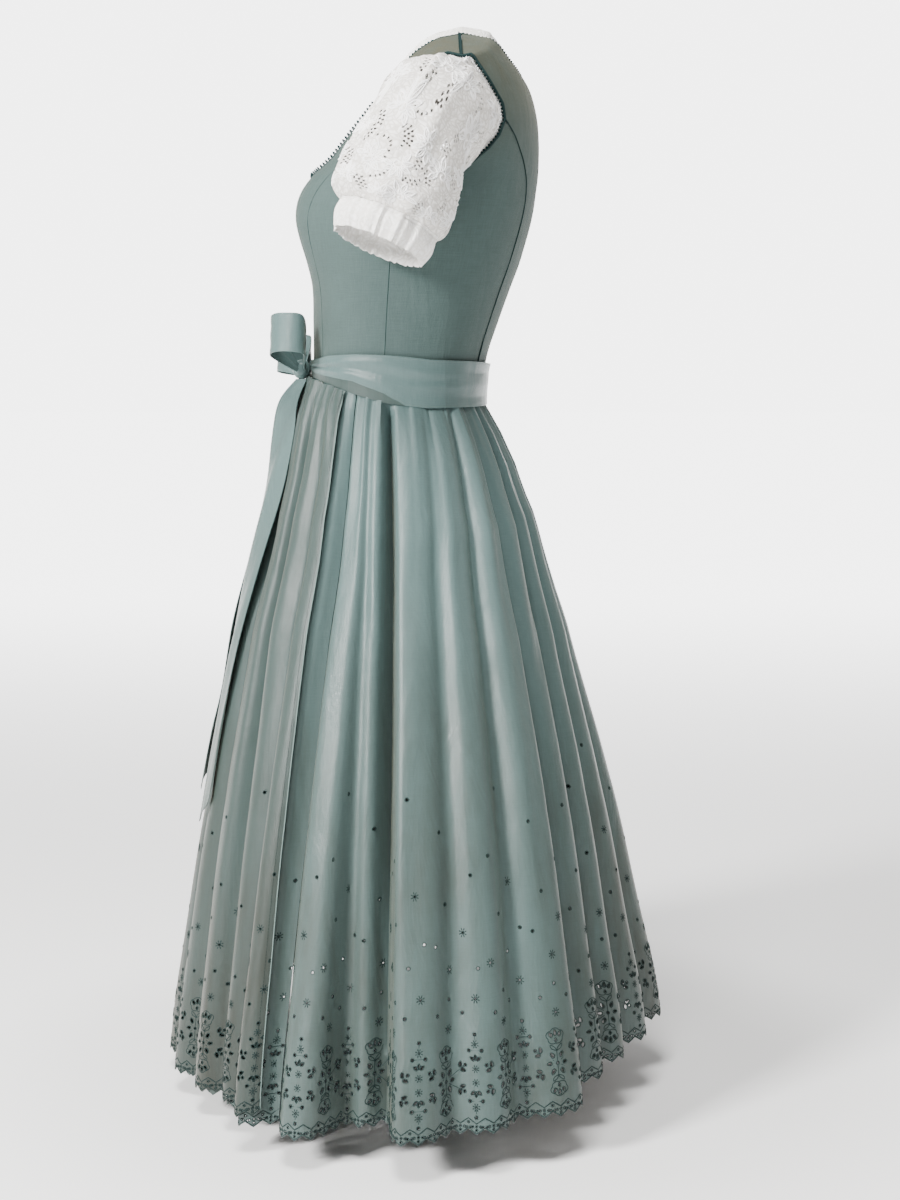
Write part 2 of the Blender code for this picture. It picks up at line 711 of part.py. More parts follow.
def build_tail(name, side, scale, satin):
    """A tail of the bow, hanging from under the knot in front of the apron, cut on a slant at its end."""
    rows = []
    for index, t in enumerate(TAIL):
        z = TAIL[0].z + (t.z - TAIL[0].z) * scale
        row = []
        for share in (-1.0, 0.0, 1.0):
            x = KNOT_CENTRE[0] + side * (t.x + share * t.half)
            out = (t.inner_out * (1 - share) + t.outer_out * (1 + share)) / 2
            tip = TAIL_TIP * (1 - share) / 2 * (index == len(TAIL) - 1)
            y = apron_front(x, z - tip) - out if index else KNOT_CENTRE[1]
            row.append(np.array((x, y, z - tip)))
        rows.append(row if side > 0 else row[::-1])
    cloth(name, rows, RIBBON_WALL, satin)


# ---- blouse ----

def blouse_inset(z):
    """The blouse lies just under the strap at the shoulder and further inside lower down."""
    return BLOUSE_SHOULDER_INSET + (BLOUSE_INSET - BLOUSE_SHOULDER_INSET) * min(1.0, -z / 30)


def blouse_strap_share():
    strap_deg = math.degrees(math.asin((BLOUSE_STRAP_INNER / TORSO[0].half) ** (TORSO_POWER / 2)))
    return strap_deg / armhole_angle("front_deg", SHOULDER_SEAM, BLOUSE_ARMHOLE_INSET)


def blouse_point(side, share, z, depth):
    """A point of the blouse's front or back; share runs from the middle (0) to either armhole (1 or -1)."""
    top = neck_dip(abs(share), blouse_strap_share(), depth)
    height = top + z * (BLOUSE_BOTTOM - top) / BLOUSE_BOTTOM
    edge = armhole_angle(side, height, BLOUSE_ARMHOLE_INSET) if height > ARMHOLE_BOTTOM else 90
    edge = edge if side == "front_deg" else 180 - edge
    angle = share * (edge - turn_for(SEAM_GAP / 2, 80, height))
    return on_torso(angle if side == "front_deg" else 180 + angle, height, blouse_inset(height))


def blouse_rows(side, depth):
    """The blouse's front or back from its lower edge to the shoulder and neckline."""
    shares = shares_across(blouse_strap_share())[:: -1]
    return [[blouse_point(side, share, z, depth) for share in shares] for z in BLOUSE_HEIGHTS]


def collar_rows():
    """The lace edging that stands up all round the neckline."""
    shares = [-share for share in NECK_SHARES] + [0.0] + list(reversed(NECK_SHARES))
    base = []
    heights = []
    for side, depth, middle in (
        ("front_deg", BLOUSE_NECK_DEPTH, COLLAR_FRONT),
        ("back_deg", BLOUSE_BACK_NECK_DEPTH, COLLAR_BACK),
    ):
        base += [blouse_point(side, s * blouse_strap_share(), SHOULDER_SEAM, depth) for s in shares]
        heights += [middle + (COLLAR_SIDE - middle) * s * s for s in shares]
    rows = [[], [], []]
    for point, height in zip(base, heights):
        inward = np.array((-point[0], TORSO[0].centre - point[1], 0))
        inward /= np.linalg.norm(inward)
        for row, share, lean in zip(rows, (0.0, 0.5, 1.0), (0.0, -0.4, 0.6)):
            row.append(point + (COLLAR_IN + lean) * inward + np.array((0, 0, height * share)))
    return rows


def armhole_loop(inset, out, count):
    """Points round the left armhole from the shoulder tip over the back, evenly spaced, moved in and out."""
    lowest = ARMHOLE_BOTTOM + inset
    places = [(armhole_angle("back_deg", e.z, inset), max(e.z, lowest)) for e in ARMHOLE[:-1]]
    places += [(SIDE_SEAM_DEG, lowest)]
    places += [(armhole_angle("front_deg", e.z, inset), max(e.z, lowest)) for e in reversed(ARMHOLE[1:-1])]
    outline = [on_torso(deg, z, out) for deg, z in places]
    outline = np.array(outline + [outline[0]])
    along = np.concatenate(([0.0], np.cumsum(np.linalg.norm(np.diff(outline, axis=0), axis=1))))
    at = np.linspace(0, along[-1], count, endpoint=False)
    return np.stack([np.interp(at, along, outline[:, k]) for k in range(3)], axis=1)


def torso_side(y, z):
    """How far out the torso's left side lies at a depth and a height."""
    level = row_number(TORSO, "z", z)
    front, back, centre, half = (smooth(TORSO, name, level) for name in ("front", "back", "centre", "half"))
    reach = front if y < centre else back
    share = min(1.0, abs((y - centre) / (reach - centre)))
    return half * (1 - share**TORSO_POWER) ** (1 / TORSO_POWER)


def ring_points(ring):
    """One ring of the sleeve, gathered, and held clear of the torso's side."""
    turn = math.radians(ring.turn_deg)
    outward = np.array((1.0, 0.0, 0.0))
    top = math.sin(turn) * outward - math.cos(turn) * ARM_DOWN
    back = np.cross(outward, ARM_DOWN)
    points = []
    for k in range(SLEEVE_POINTS):
        angle = 2 * math.pi * k / SLEEVE_POINTS
        swell = SLEEVE_GATHER * ring.gather * (k % 2)
        point = np.array((ring.x, ring.y, ring.z)) + (ring.outer + swell) * math.cos(angle) * top
        point += (ring.side + swell) * math.sin(angle) * back
        point[0] = max(point[0], torso_side(point[1], point[2]) + ring.clear)
        points.append(point)
    return points


def build_blouse(lace):
    cloth("blouse_front", blouse_rows("front_deg", BLOUSE_NECK_DEPTH), BLOUSE_WALL, lace)
    cloth("blouse_back", blouse_rows("back_deg", BLOUSE_BACK_NECK_DEPTH), BLOUSE_WALL, lace)
    cloth("blouse_collar", collar_rows(), BLOUSE_WALL, lace, wrap=True)
    sleeve = [armhole_loop(inset, out, SLEEVE_POINTS) for inset, out in SLEEVE_ROOT]
    sleeve += [ring_points(ring) for ring in SLEEVE]
    cuff = [ring_points(ring) for ring in CUFF]
    for name, rows in (("sleeve", sleeve), ("cuff", cuff)):
        cloth(f"blouse_{name}_left", rows, BLOUSE_WALL, lace, wrap=True)
        cloth(f"blouse_{name}_right", mirrored(rows), BLOUSE_WALL, lace, wrap=True)


clear_scene()
GARMENT = bpy.data.collections.new("dirndl")
bpy.context.scene.collection.children.link(GARMENT)
LINEN = make_material("linen", (0.17, 0.23, 0.21), 0.85)
SATIN = make_material("satin_cotton", (0.24, 0.31, 0.29), 0.45)
LACE = make_material("white_lace", (0.86, 0.85, 0.84), 0.8)
build_bodice(LINEN)
build_skirt(SATIN)
build_apron(SATIN)
build_belt(SATIN)
build_knot(SATIN)
build_loop("bow_loop_left", 1, 0.0, LOOP_TILT_DEG, SATIN)
build_loop("bow_loop_right", -1, RIGHT_LOOP_DROP, RIGHT_LOOP_TILT_DEG, SATIN)
build_tail("bow_tail_left", 1, 1.0, SATIN)
build_tail("bow_tail_right", -1, RIGHT_TAIL_SCALE, SATIN)
build_blouse(LACE)
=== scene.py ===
"""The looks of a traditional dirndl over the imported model: bodice, pleated skirt, apron, bow, blouse."""

import math
from collections import namedtuple

import bpy
import numpy as np
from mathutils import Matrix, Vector
from mathutils.geometry import delaunay_2d_cdt


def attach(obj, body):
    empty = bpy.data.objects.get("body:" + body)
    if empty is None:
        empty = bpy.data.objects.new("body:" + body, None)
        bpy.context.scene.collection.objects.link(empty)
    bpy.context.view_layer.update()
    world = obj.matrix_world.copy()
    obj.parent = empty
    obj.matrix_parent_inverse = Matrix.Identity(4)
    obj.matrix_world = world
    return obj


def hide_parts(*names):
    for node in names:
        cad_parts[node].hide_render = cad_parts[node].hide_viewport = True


def table(columns, *rows):
    """Rows with named columns."""
    kind = namedtuple("Row", columns)
    return tuple(kind(*row) for row in rows)


# ---- sizes, in millimetres and degrees; deg 0 is the centre front, 90 the wearer's left side ----

MM = 0.001
SKIRT_WALL = 1.2
SEAM_GAP = 0.4
HEM_HEIGHT = -1072
HEM_TILT = 19.0
APRON_SHORTER_AT_EDGE = 14.0
STRAP_INNER = 78.0
SHOULDER_SLOPE = 0.48
ARMHOLE_BOTTOM = -157
BLOUSE_INSET = -3.4
BLOUSE_SHOULDER_INSET = -2.6
BAND_OUT = 2.3
TIE_OUT = 3.9
APRON_OUT = 5.0
APRON_RISE = 0.04
LINEN_THICK = 1.2
PANEL_THICK = 0.7
TIE_THICK = 1.0
BOW_THICK = 0.9
KNOT_THICK = 0.8
BLOUSE_THICK = 0.8
FRILL_THICK = 0.6
TORSO_POWER = 2.3
SKIRT_POWER = 2.1
SIDE_SEAM_DEG = 84.0

# The torso under the bodice: at each height, how far the section reaches in front and behind, where its
# sides lie and its half width. "cup" moves the bust's fullness from the centre front to either side of it.
TORSO = table(
    "z front back centre half cup",
    (0, 7, 7, 7, 148, 0), (-3.5, -19, 36, 6.5, 148, 0), (-11.5, -37, 49, 5, 147.5, 0),
    (-21, -51, 57, 4, 147, 0), (-34.5, -62, 68.5, 2, 148, 0), (-52, -76, 79.5, -4, 152, 0),
    (-77, -97, 86.5, -11, 157, 0), (-102, -118, 89, -18, 155, 2), (-127, -139, 89, -27, 150, 5),
    (-142, -156, 88, -32, 147, 8), (-157, -168, 86, -37, 146, 11), (-172, -174, 84, -41, 144.5, 12),
    (-189, -175, 80.5, -44, 142, 12), (-209, -170, 75, -47, 138.5, 10), (-232, -162, 68, -50, 133.5, 7),
    (-257, -155, 58.5, -53, 128, 4), (-292, -152, 46, -56.5, 122, 1), (-327, -151, 34.5, -59, 118.5, 0),
    (-362, -151.5, 29.5, -61, 118, 0), (-392, -152, 29, -61, 118.5, 0),
)
CUP_CENTRE = 78.0
CUP_SPREAD = 40.0

# The left armhole: the angles of its front and back edges round the torso, at each height.
ARMHOLE = table(
    "z front_deg back_deg",
    (0, 72.5, 107.5), (-5, 67, 105), (-13, 63, 106), (-23.5, 60, 107.7), (-36.5, 57.5, 111.5),
    (-52, 55.5, 117), (-72, 54.5, 124.5), (-88, 54.5, 126), (-104, 55.5, 123), (-118, 58, 117.5),
    (-130, 61.5, 111.5), (-140, 66, 106), (-149, 72, 99), (-154, 77, 93), (-157, 83.9, 84.1),
)

# Seams and the neckline as an angle at each height.
FRONT_SEAM = table(
    "z deg", (-392, 33), (-292, 34), (-232, 36), (-182, 38.5), (-142, 43), (-112, 48.5), (-88, 54.5),
)
BACK_SEAM = table("z deg", (-392, 151.5), (-242, 152), (-167, 152.5), (-137, 147), (-108, 136), (-88, 126))
NECKLINE = table(
    "z deg", (-144, 0.1), (-143, 10), (-141, 19), (-136, 25), (-126, 28), (-88, 28.5), (-52, 29.5),
    (-23.5, 31.5), (-11.5, 31.5), (0, 28.6),
)
BACK_NECK_DEPTH = -36.5

# The heights of the panels' rows, from the waist to the armhole and on to the shoulder seam.
SHOULDER_SEAM = -0.06
FRONT_HEIGHTS = (
    -339, -312, -277, -242, -214, -192, -174, -157, -154, -149, -144, -143, -141, -136, -126, -116, -104, -92,
)
BACK_HEIGHTS = (-356, -317, -277, -237, -202, -172, -157, -154, -149, -140, -130, -118, -104, -92)
STRAP_HEIGHTS = (-88, -72, -52, -36.5, -23.5, -11.5, -3.5, SHOULDER_SEAM)
PANEL_FOOT = -344
SEAM_END = -341
ROW_STEP = 5
NECK_SHARES = (1.0, 0.97, 0.89, 0.75, 0.55, 0.28)

BLOUSE_HEIGHTS = (-197, -174, -155, -140, -124, -104, -72, -52, -36.5, -23.5, -11.5, SHOULDER_SEAM)
BLOUSE_BOTTOM = BLOUSE_HEIGHTS[0]
BLOUSE_NECK_DEPTH = -100
BLOUSE_BACK_NECK_DEPTH = -26
BLOUSE_STRAP_INNER = 64.0
BLOUSE_ARMHOLE_INSET = 3.0
COLLAR_FRONT = 6.0
COLLAR_SIDE = 13.0
COLLAR_BACK = 9.0
COLLAR_IN = 1.3

# The belt: its top edge, its bottom edge, and the bottom edge of the outer tie, which narrows to the knot.
BELT = table(
    "deg top bottom tie_bottom",
    (0, -333, -346, -339), (15, -332, -349, -342), (30, -330.5, -352.5, -346), (45, -327.5, -357, -349),
    (65, -326, -366, -353.5), (85, -327, -374, -366), (95, -329, -377, -377), (108, -331.5, -379, -379),
    (146, -333, -378.5, -378.5), (180, -335, -377, -377),
)
BAND_END_DEG = 98.0
BAND_TOP_SHARE = 0.12
KNOT_DEG = 8.5
KNOT_TURN = 4.8
TIE_LEFT_END_DEG = 196.0
TIE_RIGHT_END_DEG = 168.0
TIE_LIFT = 1.7
TIE_LIFT_START_DEG = 140.0
TIE_LIFT_TURN = 20.0

# The crests of the skirt between the belt (fall 0) and the hem (fall 1).
SKIRT = table(
    "fall front back centre half",
    (0.0, -152, 29, -61, 118), (0.035, -160, 44, -60, 131), (0.09, -170, 62, -58, 148),
    (0.18, -189, 87, -55, 172), (0.35, -225, 124, -51, 213), (0.60, -264, 172, -46, 270),
    (0.80, -291, 206, -43, 309), (1.0, -313, 237, -40, 345),
)
APRON_EDGE_DEG = 56.0
APRON_EDGE_U_AT_WAIST = 0.55
APRON_EDGE_U_AT_HEM = 0.75

# The left half's folds, from the centre front to the centre back: where each lies at the waist and at the
# hem, how deep it is at the hem, which side of it is steep (1 towards the back, -1 towards the front), how
# far the crest behind it stands out at the hem, and how soon it deepens (sooner under 1).
FOLDS = table(
    "waist_deg hem_deg depth lean crest growth",
    (6, 7, 22, 0.0, -8, 0.9), (18, 21, 36, 0.3, -22, 1.1), (32, 34.5, 46, -0.2, -24, 0.6),
    (50, 47, 44, 0.6, -2, 1.3), (67, 58, 32, 0.5, 2, 0.55), (78, 74.5, 52, -0.3, -38, 1.6),
    (88, 84, 56, 0.9, 8, 0.45), (107, 98, 15, 0.0, 0, 0.7), (123.5, 112, 20, -0.2, 0, 0.5),
    (138, 130, 58, -0.9, -34, 1.2), (151, 144, 62, -0.8, -34, 0.6), (162, 156, 62, -0.7, -20, 0.8),
    (173, 172, 40, -0.3, 0, 0.7),
)
CENTRE_CREST = 0.0
FOLD_DEPTH_AT_WAIST = 2.6
FOLD_WIDTH_AT_WAIST = 0.17
FOLD_WIDTH_AT_HEM = 0.27
CREST_GROWTH = 1.5
SEAM_U_AT_WAIST = 0.03
SEAM_U_AT_HEM = 0.014
FRONT_FOLD = 4
BACK_FOLD = 10
RIGHT_SIDE_SHIFT_DEG = 1.6
FOLD_SWING = 0.6
STEEPNESS = 0.6
ROUND_BELOW = 0.25

# The left sleeve's rings: the turn from sideways (0) to down the arm (90), the centre, the two radii, how
# far the ring stays off the torso and how strongly it is gathered.
RING = "turn_deg x y z outer side clear gather"
SLEEVE = table(
    RING,
    (12, 155, -20, -90, 61, 59, 5, 0.2), (34, 168, -28, -103, 62, 54, 14, 0.3),
    (54, 181, -40, -122, 60, 53, 17, 0.4), (69, 190, -53, -155, 55, 59, 14, 0.6),
    (78, 195, -62, -178, 53, 59, 12, 0.9), (80, 197, -64, -189, 48, 54, 9, 1),
    (80, 198, -64, -194, 44, 49, 9, 1),
)
CUFF = table(
    RING,
    (80, 198, -64.2, -194.5, 44, 49, 9, 1), (80, 199, -67, -200, 46, 49, 8.5, 1),
    (80, 200, -71, -209, 48, 49, 8, 1), (80, 201, -76, -221, 43.5, 44, 8, 1),
)
# Where the sleeve's first two rows lie: how far inside the armhole, and how far out from the torso.
SLEEVE_ROOT = ((5.4, -3.0), (7.2, 2.5))
ARM_DOWN = np.array((0.0, -0.39, -0.921))
SLEEVE_POINTS = 24
SLEEVE_GATHER = 2.6

# The bow's left loop, as points from the knot's centre with the ribbon's half width at each, and its tails:
# how far from the knot each place lies, and how far its inner and outer edges stand off the apron.
KNOT_CENTRE = np.array((22.0, -163.6, -342.0))
KNOT_RADII = np.array((10.0, 9.0, 10.0))
LOOP = table(
    "x y z half",
    (9.8, -3.6, 3, 6), (22, -19, 20, 15), (40, -29, 33, 21), (57, -25, 38, 22), (66, -11, 39, 22),
    (60, 4, 37, 22), (42, 7, 28, 17), (24, 4, 13, 10), (9.8, 3.6, 3, 5),
)
LOOP_TILT_DEG = 25.0
RIGHT_LOOP_DROP = 24.0
RIGHT_LOOP_TILT_DEG = -4.0
TAIL = table(
    "z x half inner_out outer_out",
    (-352.3, 6, 5, 0, 0), (-377, 17, 14, 17, 1), (-412, 22, 19, 18, 0), (-472, 25, 22, 13, 1.5),
    (-552, 27, 22, 11, 1), (-632, 29, 22, 9, 1), (-712, 31, 22, 8, 1), (-767, 33, 22, 8, 1),
    (-798, 34, 22, 9, 2),
)
TAIL_TIP = 34.0
TAIL_SUPPORT = 14.0
TAIL_TWIST = 6.0
RIGHT_TAIL_SCALE = 0.93


# ---- reading the tables ----

def column_of(rows, column):
    return np.array([getattr(row, column) for row in rows], float)


def interpolate(rows, column, at):
    """A column of a table at values of its first column, straight between the rows."""
    keys = np.array([row[0] for row in rows], float)
    order = np.argsort(keys)
    return np.interp(at, keys[order], column_of(rows, column)[order])


def cubic(values, index):
    """A list of values or points at fractional indexes, on a smooth curve through them."""
    values, index = np.asarray(values, float), np.asarray(index, float)
    last = len(values) - 1
    low = np.clip(np.floor(index), 0, last - 1).astype(int)
    u = index - low
    if values.ndim > 1:
        u = u.reshape(u.shape + (1,) * (values.ndim - 1))
    before, start = values[np.clip(low - 1, 0, last)], values[low]
    end, after = values[low + 1], values[np.clip(low + 2, 0, last)]
    slope_in, slope_out = (end - before) / 2, (after - start) / 2
    bend = 2 * (start - end) + slope_in + slope_out
    return start + u * (slope_in + u * (end - start - slope_in - bend + u * bend))


def smooth(rows, columns, index):
    """Several columns of a table, smooth between the rows."""
    return [cubic(column_of(rows, column), index) for column in columns]


def row_number(rows, column, value):
    """The fractional row number at which a falling or rising column has these values."""
    values = column_of(rows, column)
    sign = -1 if values[0] > values[-1] else 1
    return np.interp(sign * np.asarray(value, float), sign * values, range(len(values)))


# ---- the torso's surface ----

def section(deg, front, back, centre, half, power):
    """x and y on a rounded section."""
    angle = np.radians(deg)
    side = np.abs(np.sin(angle)) ** (2 / power)
    depth = np.abs(np.cos(angle)) ** (2 / power)
    reach = np.where(np.cos(angle) > 0, front, back)
    return np.copysign(half * side, np.sin(angle)), centre + (reach - centre) * depth


def torso(deg, level):
    """Points of the torso at row numbers of TORSO; negative ones lie over the shoulder, on the other side."""
    deg, level = np.broadcast_arrays(np.asarray(deg, float), np.asarray(level, float))
    deg = np.where(level < 0, np.copysign(180, deg) - deg, deg)
    level = np.abs(level)
    z, front, back, centre, half, cup = smooth(TORSO, TORSO[0]._fields, level)
    cup = np.where(np.cos(np.radians(deg)) > 0, cup, 0.0)
    x, y = section(deg, front + cup, back, centre, half, TORSO_POWER)
    y = y - cup * np.exp(-(((np.abs(x) - CUP_CENTRE) / CUP_SPREAD) ** 2))
    fade = 1 - np.minimum(1.0, level / row_number(TORSO, "z", ARMHOLE_BOTTOM))
    drop = SHOULDER_SLOPE * np.maximum(0.0, np.abs(x) - STRAP_INNER) * fade * fade
    return np.stack((x, y, z - drop), axis=-1)


def on_torso(deg, z, out=0.0):
    """Points of the torso at angles and heights, moved out along the surface's normal."""
    deg = away_from(np.asarray(deg, float), 0)
    level = row_number(TORSO, "z", z)
    along = torso(deg + 0.6, level) - torso(deg - 0.6, level)
    down = torso(deg, level + 0.06) - torso(deg, level - 0.06)
    normal = np.cross(down, along)
    out = np.asarray(out, float)
    out = out[..., None] if out.ndim else out
    return torso(deg, level) + out * normal / np.linalg.norm(normal, axis=-1, keepdims=True)


def away_from(deg, line):
    """The signed turn from a line to some angles."""
    return (deg - line + 180) % 360 - 180


def turn_for(distance, deg, z):
    """The turn in degrees that moves points of the torso this far round it."""
    level = row_number(TORSO, "z", z)
    step = 0.5
    return distance * step / np.linalg.norm(torso(deg + step, level) - torso(deg, level), axis=-1)


def belt_height(deg, edge):
    return interpolate(BELT, edge, np.abs(away_from(np.asarray(deg), 0)))


def armhole_angle(side, z, inset=0.0):
    """The armhole's front or back edge at a height, moved into the hole by inset."""
    deg = interpolate(ARMHOLE, side, z)
    turn = turn_for(inset, deg, z) if inset else 0.0
    return deg + (turn if side == "front_deg" else -turn)


def armhole_places(inset, last):
    """(deg, z) places round the left armhole: down the back from the shoulder, then up the front."""
    lowest = ARMHOLE_BOTTOM + inset

    def side(name, rows):
        return [(float(armhole_angle(name, e.z, inset)), max(e.z, lowest)) for e in rows]

    return np.array(side("back_deg", ARMHOLE[:-1]) + [(SIDE_SEAM_DEG, lowest)] + side("front_deg", last))


# ---- the skirt's surface ----

CRESTS = (CENTRE_CREST, *(f.crest for f in FOLDS[:-1]))
RIGHT_FOLDS = [
    f._replace(waist_deg=-f.waist_deg, hem_deg=-f.hem_deg, lean=-f.lean, crest=crest)
    for f, crest in zip(FOLDS, CRESTS)
]
FOLDS_ROUND = RIGHT_FOLDS[::-1] + list(FOLDS)


def fold_angle(fold, share):
    sideways = min(0.0, math.sin(math.radians(fold.waist_deg)))
    swing = (fold.hem_deg - fold.waist_deg) * share**FOLD_SWING
    return fold.waist_deg + swing + RIGHT_SIDE_SHIFT_DEG * share * sideways


def wave_shape(wave, u, share):
    """The angle, and how far the cloth lies inside the base line, at u between two folds."""
    near, far = (FOLDS_ROUND[k % len(FOLDS_ROUND)] for k in (wave, wave + 1))
    start, end = fold_angle(near, share), fold_angle(far, share)
    end = np.where(end < start, end + 360, end)
    crest = -near.crest * share**CREST_GROWTH
    near_depth, far_depth = (
        FOLD_DEPTH_AT_WAIST + (f.depth - FOLD_DEPTH_AT_WAIST) * share**f.growth for f in (near, far)
    )
    width = FOLD_WIDTH_AT_WAIST + (FOLD_WIDTH_AT_HEM - FOLD_WIDTH_AT_WAIST) * share
    near_share = np.exp(-((u / (width * (1 - STEEPNESS * near.lean))) ** 2))
    far_share = np.exp(-(((1 - u) / (width * (1 + STEEPNESS * far.lean))) ** 2))
    inset = crest + (near_depth - crest) * near_share + (far_depth - crest) * far_share
    return start + (end - start) * u, inset


def skirt_points(wave, u, share, out=0.0):
    """Points of the skirt's wall down one line, and their angles; share is an array."""
    deg, inset = wave_shape(wave, u, share)
    index = row_number(SKIRT, "fall", share)
    front, back, centre, half = smooth(SKIRT, ("front", "back", "centre", "half"), index)
    power = TORSO_POWER + (SKIRT_POWER - TORSO_POWER) * np.minimum(1.0, share / ROUND_BELOW)
    x, y = section(deg, front, back, centre, half, power)
    away = np.stack((x, y - centre))
    away = away / np.linalg.norm(away, axis=0)
    x, y = np.stack((x, y)) + away * (out - inset - SKIRT_WALL / 4)
    top = belt_height(deg, "bottom")
    hem = HEM_HEIGHT - HEM_TILT * np.cos(np.radians(deg))
    return np.stack((x, y, top + (hem - top) * share), axis=-1), deg


# ---- sheets: dense grids of a piece's surface, on which everything else is laid ----

def unit(vectors):
    return vectors / np.maximum(1e-9, np.linalg.norm(vectors, axis=-1, keepdims=True))


def lengths_along(points):
    return np.concatenate(([0.0], np.cumsum(np.linalg.norm(np.diff(points, axis=0), axis=1))))


class Sheet:
    """A piece's surface as a grid of points; s runs along its last row and y up from that row."""

    def __init__(self, points, wrap=False):
        self.points = p = np.asarray(points, float)
        self.wrap = wrap
        along = np.gradient(p, axis=1)
        if wrap:
            along[:, 0] = along[:, -1] = p[:, 1] - p[:, -2]
        self.normals = -unit(np.cross(along, np.gradient(p, axis=0)))
        self.s = lengths_along(p[-1])
        self.y = lengths_along(p[::-1, p.shape[1] // 2])[::-1]
        self.length, self.height = self.s[-1], self.y[0]

    def lookup(self, values, row, column):
        rows, columns = values.shape[:2]
        row, column = np.clip(row, 0, rows - 1.0001), np.clip(column, 0, columns - 1.0001)
        i, j = row.astype(int), column.astype(int)
        a, b = (row - i)[..., None], (column - j)[..., None]
        top = values[i, j] * (1 - b) + values[i, j + 1] * b
        low = values[i + 1, j] * (1 - b) + values[i + 1, j + 1] * b
        return top * (1 - a) + low * a

    def index(self, s, y):
        return np.interp(-y, -self.y, range(len(self.y))), np.interp(s, self.s, range(len(self.s)))

    def normals_at(self, s, y):
        return self.lookup(self.normals, *self.index(s, y))

    def at(self, s, y, out=0.0):
        """Points s along and y above the last row, moved out of the surface."""
        s, y, out = np.broadcast_arrays(np.asarray(s, float), np.asarray(y, float), np.asarray(out, float))
        row, column = self.index(s, y)
        point, normal = self.lookup(self.points, row, column), self.lookup(self.normals, row, column)
        edge, above = (self.lookup(self.points, np.full_like(row, len(self.y) - k), column) for k in (1, 2))
        return point + normal * out[..., None] - unit(edge - above) * np.minimum(0.0, y)[..., None]

    def moved(self, out):
        """The same sheet, moved out by a distance for each of its points."""
        return Sheet(self.points + self.normals * out[..., None], self.wrap)


def mirrored(sheet):
    return Sheet(sheet.points[:, ::-1] * (-1, 1, 1), sheet.wrap)


# ---- meshes ----

def new_object(name, verts, faces, material, uv=None, sharp_deg=None):
    mesh = bpy.data.meshes.new(name)
    mesh.from_pydata(np.asarray(verts, float) * MM, [], [tuple(map(int, f)) for f in faces])
    if uv is not None:
        layer = mesh.uv_layers.new(name="cloth")
        corners = np.empty(len(mesh.loops), int)
        mesh.loops.foreach_get("vertex_index", corners)
        layer.data.foreach_set("uv", (uv[corners] * MM).ravel())
    mesh.shade_smooth()
    if sharp_deg:
        mesh.set_sharp_from_angle(angle=math.radians(sharp_deg))
    obj = bpy.data.objects.new(name, mesh)
    bpy.context.scene.collection.objects.link(obj)
    mesh.materials.append(material)
    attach(obj, "root")
    return obj


def boundary_edges(faces):
    """The directed edges that only one face has."""
    edges = np.array([(f[k], f[(k + 1) % len(f)]) for f in faces for k in range(len(f))])
    _, where, count = np.unique(np.sort(edges, axis=1), axis=0, return_index=True, return_counts=True)
    return edges[where[count == 1]]


# The thread and piping that go with a cloth, by the name of its node.
TRIMS = {}
RIM_DEG = 50


def shell(node_name, points, normals, faces, thickness, material, uv, shaded_inside=None):
    """A thin closed cloth: the faces on both sides of the surface, and a rim round every edge and hole."""
    points, normals, uv = points.reshape(-1, 3), normals.reshape(-1, 3), uv.reshape(-1, 2)
    faces, n = faces.tolist(), len(points)
    verts = np.concatenate((points + normals * thickness / 2, points - normals * thickness / 2))
    both = faces + [tuple(k + n for k in reversed(f)) for f in faces]
    both += [(b, a, a + n, b + n) for a, b in boundary_edges(faces)]
    cloth = new_object(node_name + "_cloth", verts, both, material, np.concatenate((uv, uv)), RIM_DEG)
    # A second material, if given, paints shade on the inner faces.
    if shaded_inside:
        cloth.data.materials.append(shaded_inside)
        for polygon in cloth.data.polygons[len(faces):2 * len(faces)]:
            polygon.material_index = 1
    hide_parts(node_name)


def grid_faces(rows, columns, closed=False):
    """The faces of a grid of points, row by row; a closed one joins its last column to its first."""
    i, j = np.meshgrid(range(rows - 1), range(columns - (not closed)), indexing="ij")
    a, b = (i * columns + j).ravel(), (i * columns + (j + 1) % columns).ravel()
    return np.stack((a, a + columns, b + columns, b), axis=1)


def turned_over(faces):
    return faces[:, [0, 3, 2, 1]]


def plain_cloth(node_name, sheet, material, thickness):
    """A piece of cloth without holes, straight from its sheet."""
    rows, columns = sheet.points.shape[:2]
    ids = np.arange(rows * columns).reshape(rows, columns)
    if sheet.wrap:
        ids[:, -1] = ids[:, 0]
    uv = np.stack(np.meshgrid(sheet.s, sheet.y), axis=-1)
    faces = ids.ravel()[grid_faces(rows, columns)]
    shell(node_name, sheet.points, sheet.normals, faces, thickness, material, uv)


def frames_along(points):
    return unit(np.gradient(points, axis=0))


def tube(points, radius, sides=6, up=(0.31, 0.52, 0.79)):
    """The vertices and faces of a round cord along some points."""
    points = np.asarray(points, float)
    tangent = frames_along(points)
    first = unit(np.cross(tangent, up))
    second = np.cross(tangent, first)
    turn = np.linspace(0, 2 * math.pi, sides, endpoint=False)
    ring = np.cos(turn)[None, :, None] * first[:, None] + np.sin(turn)[None, :, None] * second[:, None]
    verts = (points[:, None] + radius * ring).reshape(-1, 3)
    return verts, turned_over(grid_faces(len(points), sides, True))


def joined(parts):
    """Several lists of vertices and faces as one."""
    starts = np.cumsum([0] + [len(verts) for verts, _ in parts])
    faces = [faces + start for (_, faces), start in zip(parts, starts)]
    return np.concatenate([verts for verts, _ in parts]), np.concatenate(faces)


def both_sides(verts, faces):
    return joined([(verts, faces), (verts * (-1, 1, 1), faces[:, ::-1])])


def resample(points, step):
    along = lengths_along(points)
    at = np.linspace(0, along[-1], max(3, round(along[-1] / step)))
    return np.stack([np.interp(at, along, column) for column in points.T], axis=1)


